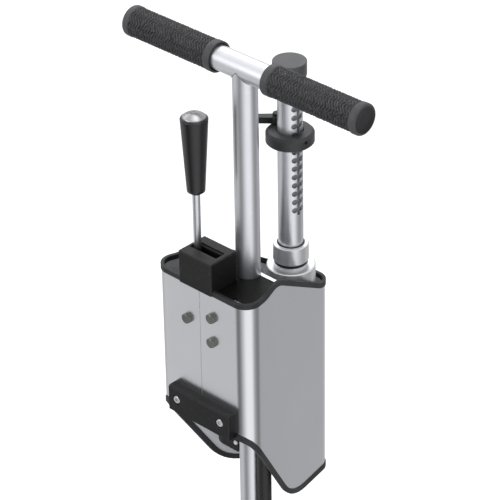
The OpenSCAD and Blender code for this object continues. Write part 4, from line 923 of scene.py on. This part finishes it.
def treeOf(pieces):
    allPoints, allTriangles = [], []
    for piece in pieces:
        points, triangles = meshOf(piece)
        start = len(allPoints)
        allPoints += points
        allTriangles += [(a + start, b + start, c + start) for a, b, c in triangles]
    return BVHTree.FromPolygons(allPoints, allTriangles, all_triangles=True)


def rayAt(x, y):
    size = cameraView["imageSize"]
    data = camera.data
    way = Vector((x - size / 2 + data.shift_x * size, size / 2 - y + data.shift_y * size,
                  -size * data.lens / data.sensor_width))
    return camera.matrix_world.translation.copy(), (camera.matrix_world.to_3x3() @ way).normalized()


def placeAt(x, y, carriers):
    # where an image point meets what carries the piece; a miss takes the place nearest the ray
    origin, way = rayAt(x, y)
    tree = treeOf(carriers)
    spot, normal = tree.ray_cast(origin, way)[:2]
    if spot:
        return spot, normal
    # tries the ray from 0.8 to 1.2 of the camera's distance
    tries = [cameraView["distance"] * (0.8 + 0.001 * i) for i in range(400)]
    return min((tree.find_nearest(origin + way * far) for far in tries), key=lambda found: found[3])[:2]


def pixelOf(point):
    size = cameraView["imageSize"]
    data = camera.data
    local = camera.matrix_world.inverted() @ point
    scale = size * data.lens / data.sensor_width / -local.z
    return (size / 2 - data.shift_x * size + local.x * scale, size / 2 + data.shift_y * size - local.y * scale)


# where things show in the photograph, in pixels of its 500 x 500 frame
imagePoints = {
    "leftEdge": (122.6, None),
    "rightEdge": (375.2, None),
    "topEdge": (None, 5.5),
    "gateKnob": (194.6, 153.0),
    "plungerCap": (289.7, 64.0),
    "stopCollar": (290.2, 136.9),
    "glandNut": (291.1, 250.9),
    "gateBlock": (208.0, 266.6),
    "boltLeft": (186.9, 318.0),
    "boltRightUpper": (210.8, 318.6),
    "boltRightLower": (211.4, 342.7),
    "barScrewLeft": (176.6, 399.5),
    "barScrewRight": (219.3, 423.2),
    "bleedPlug": (236.5, 442.0),
    "lowerTrimTip": (292.8, 493.9),
}

plug = {
    "radius": 0.0026,
    "height": 0.0022,
    "chamfer": 0.0004,
    "socket": 0.0012,        # radius and depth of the drive socket
    "socketDepth": 0.0010,
    "sunk": 0.0004,
    "steps": 36,
}


def addBleedPlug():
    # small bright plug at the manifold's corner, below the lower bar
    x, y = imagePoints["bleedPlug"]
    spot, normal = placeAt(x, y, [nodes["manifold"], nodes["lower_bar"]])
    high = plug["height"] + plug["sunk"]
    deep = high - plug["socketDepth"]
    rows = [(0, 0), (0, plug["radius"]), (high - plug["chamfer"], plug["radius"]),
            (high, plug["radius"] - plug["chamfer"]), (high, plug["socket"]), (deep, plug["socket"]), (deep, 0)]
    piece = latheMesh("bleedPlug", rows, plug["steps"], Vector((0, 0, 0)), Vector((0, 0, 1)))
    turn = normal.to_track_quat("Z", "Y").to_matrix().to_4x4()
    piece.data.transform(Matrix.Translation(spot - normal * plug["sunk"]) @ turn)
    piece.data.materials.append(made["turnedAluminium"])
    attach(piece, "frame")


addBleedPlug()
print("bleed plug placed")


# most points that are tried for a feature, for the trim and for the outline, and how near to a surface a
# point may lie and still count as open to the camera
checking = {"feature": 2500, "trim": 9000, "outline": 60000, "skin": 0.0006}


def shownPlaces(points, tree, limit=checking["feature"]):
    # image places of the points that nothing hides from the camera
    eye = camera.matrix_world.translation
    places = []
    for point in points[::max(1, len(points) // limit)]:
        way = point - eye
        if tree.ray_cast(eye, way.normalized(), way.length - checking["skin"])[0] is None:
            places.append(pixelOf(point))
    return places


def middleOf(places):
    xs = [x for x, y in places]
    ys = [y for x, y in places]
    return (min(xs) + max(xs)) / 2, (min(ys) + max(ys)) / 2


def partOf(points, right=None, upper=None):
    # the points on one side of the middle of a group of fasteners
    middle = [(min(p[i] for p in points) + max(p[i] for p in points)) / 2 for i in range(3)]
    kept = [p for p in points if right is None or (p.x > middle[0]) == right]
    return [p for p in kept if upper is None or (p.z > middle[2]) == upper]


def writeFacts():
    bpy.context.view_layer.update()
    replaced = {"grip_left", "grip_right", "hose", "lever_knob"}
    shown = [piece for piece in scene.objects
             if piece.type == "MESH" and piece.name != "floor" and piece.name not in replaced]
    tree = treeOf(shown)
    placed = {piece.name: meshOf(piece)[0] for piece in shown}
    bolts, screws = placed["hex_bolts"], placed["bar_screws"]
    groups = {
        "gateKnob": placed["gateKnob"], "plungerCap": placed["plunger_cap"], "stopCollar": placed["stop_collar"],
        "glandNut": placed["gland_nut"], "gateBlock": placed["gate_block"],
        "boltLeft": partOf(bolts, right=False), "boltRightUpper": partOf(bolts, right=True, upper=True),
        "boltRightLower": partOf(bolts, right=True, upper=False),
        "barScrewLeft": partOf(screws, right=False), "barScrewRight": partOf(screws, right=True),
        "bleedPlug": placed["bleedPlug"],
    }
    found = {name: middleOf(shownPlaces(points, tree) or [pixelOf(points[0])]) for name, points in groups.items()}
    everything = shownPlaces(placed["scaledGripLeft"] + placed["scaledGripRight"], tree, checking["outline"])
    found["leftEdge"] = (min(x for x, y in everything), None)
    found["rightEdge"] = (max(x for x, y in everything), None)
    found["topEdge"] = (None, min(y for x, y in everything))
    trimPlaces = shownPlaces(placed["lower_trim"], tree, checking["trim"])
    found["lowerTrimTip"] = max(trimPlaces, key=lambda place: place[1])


writeFacts()
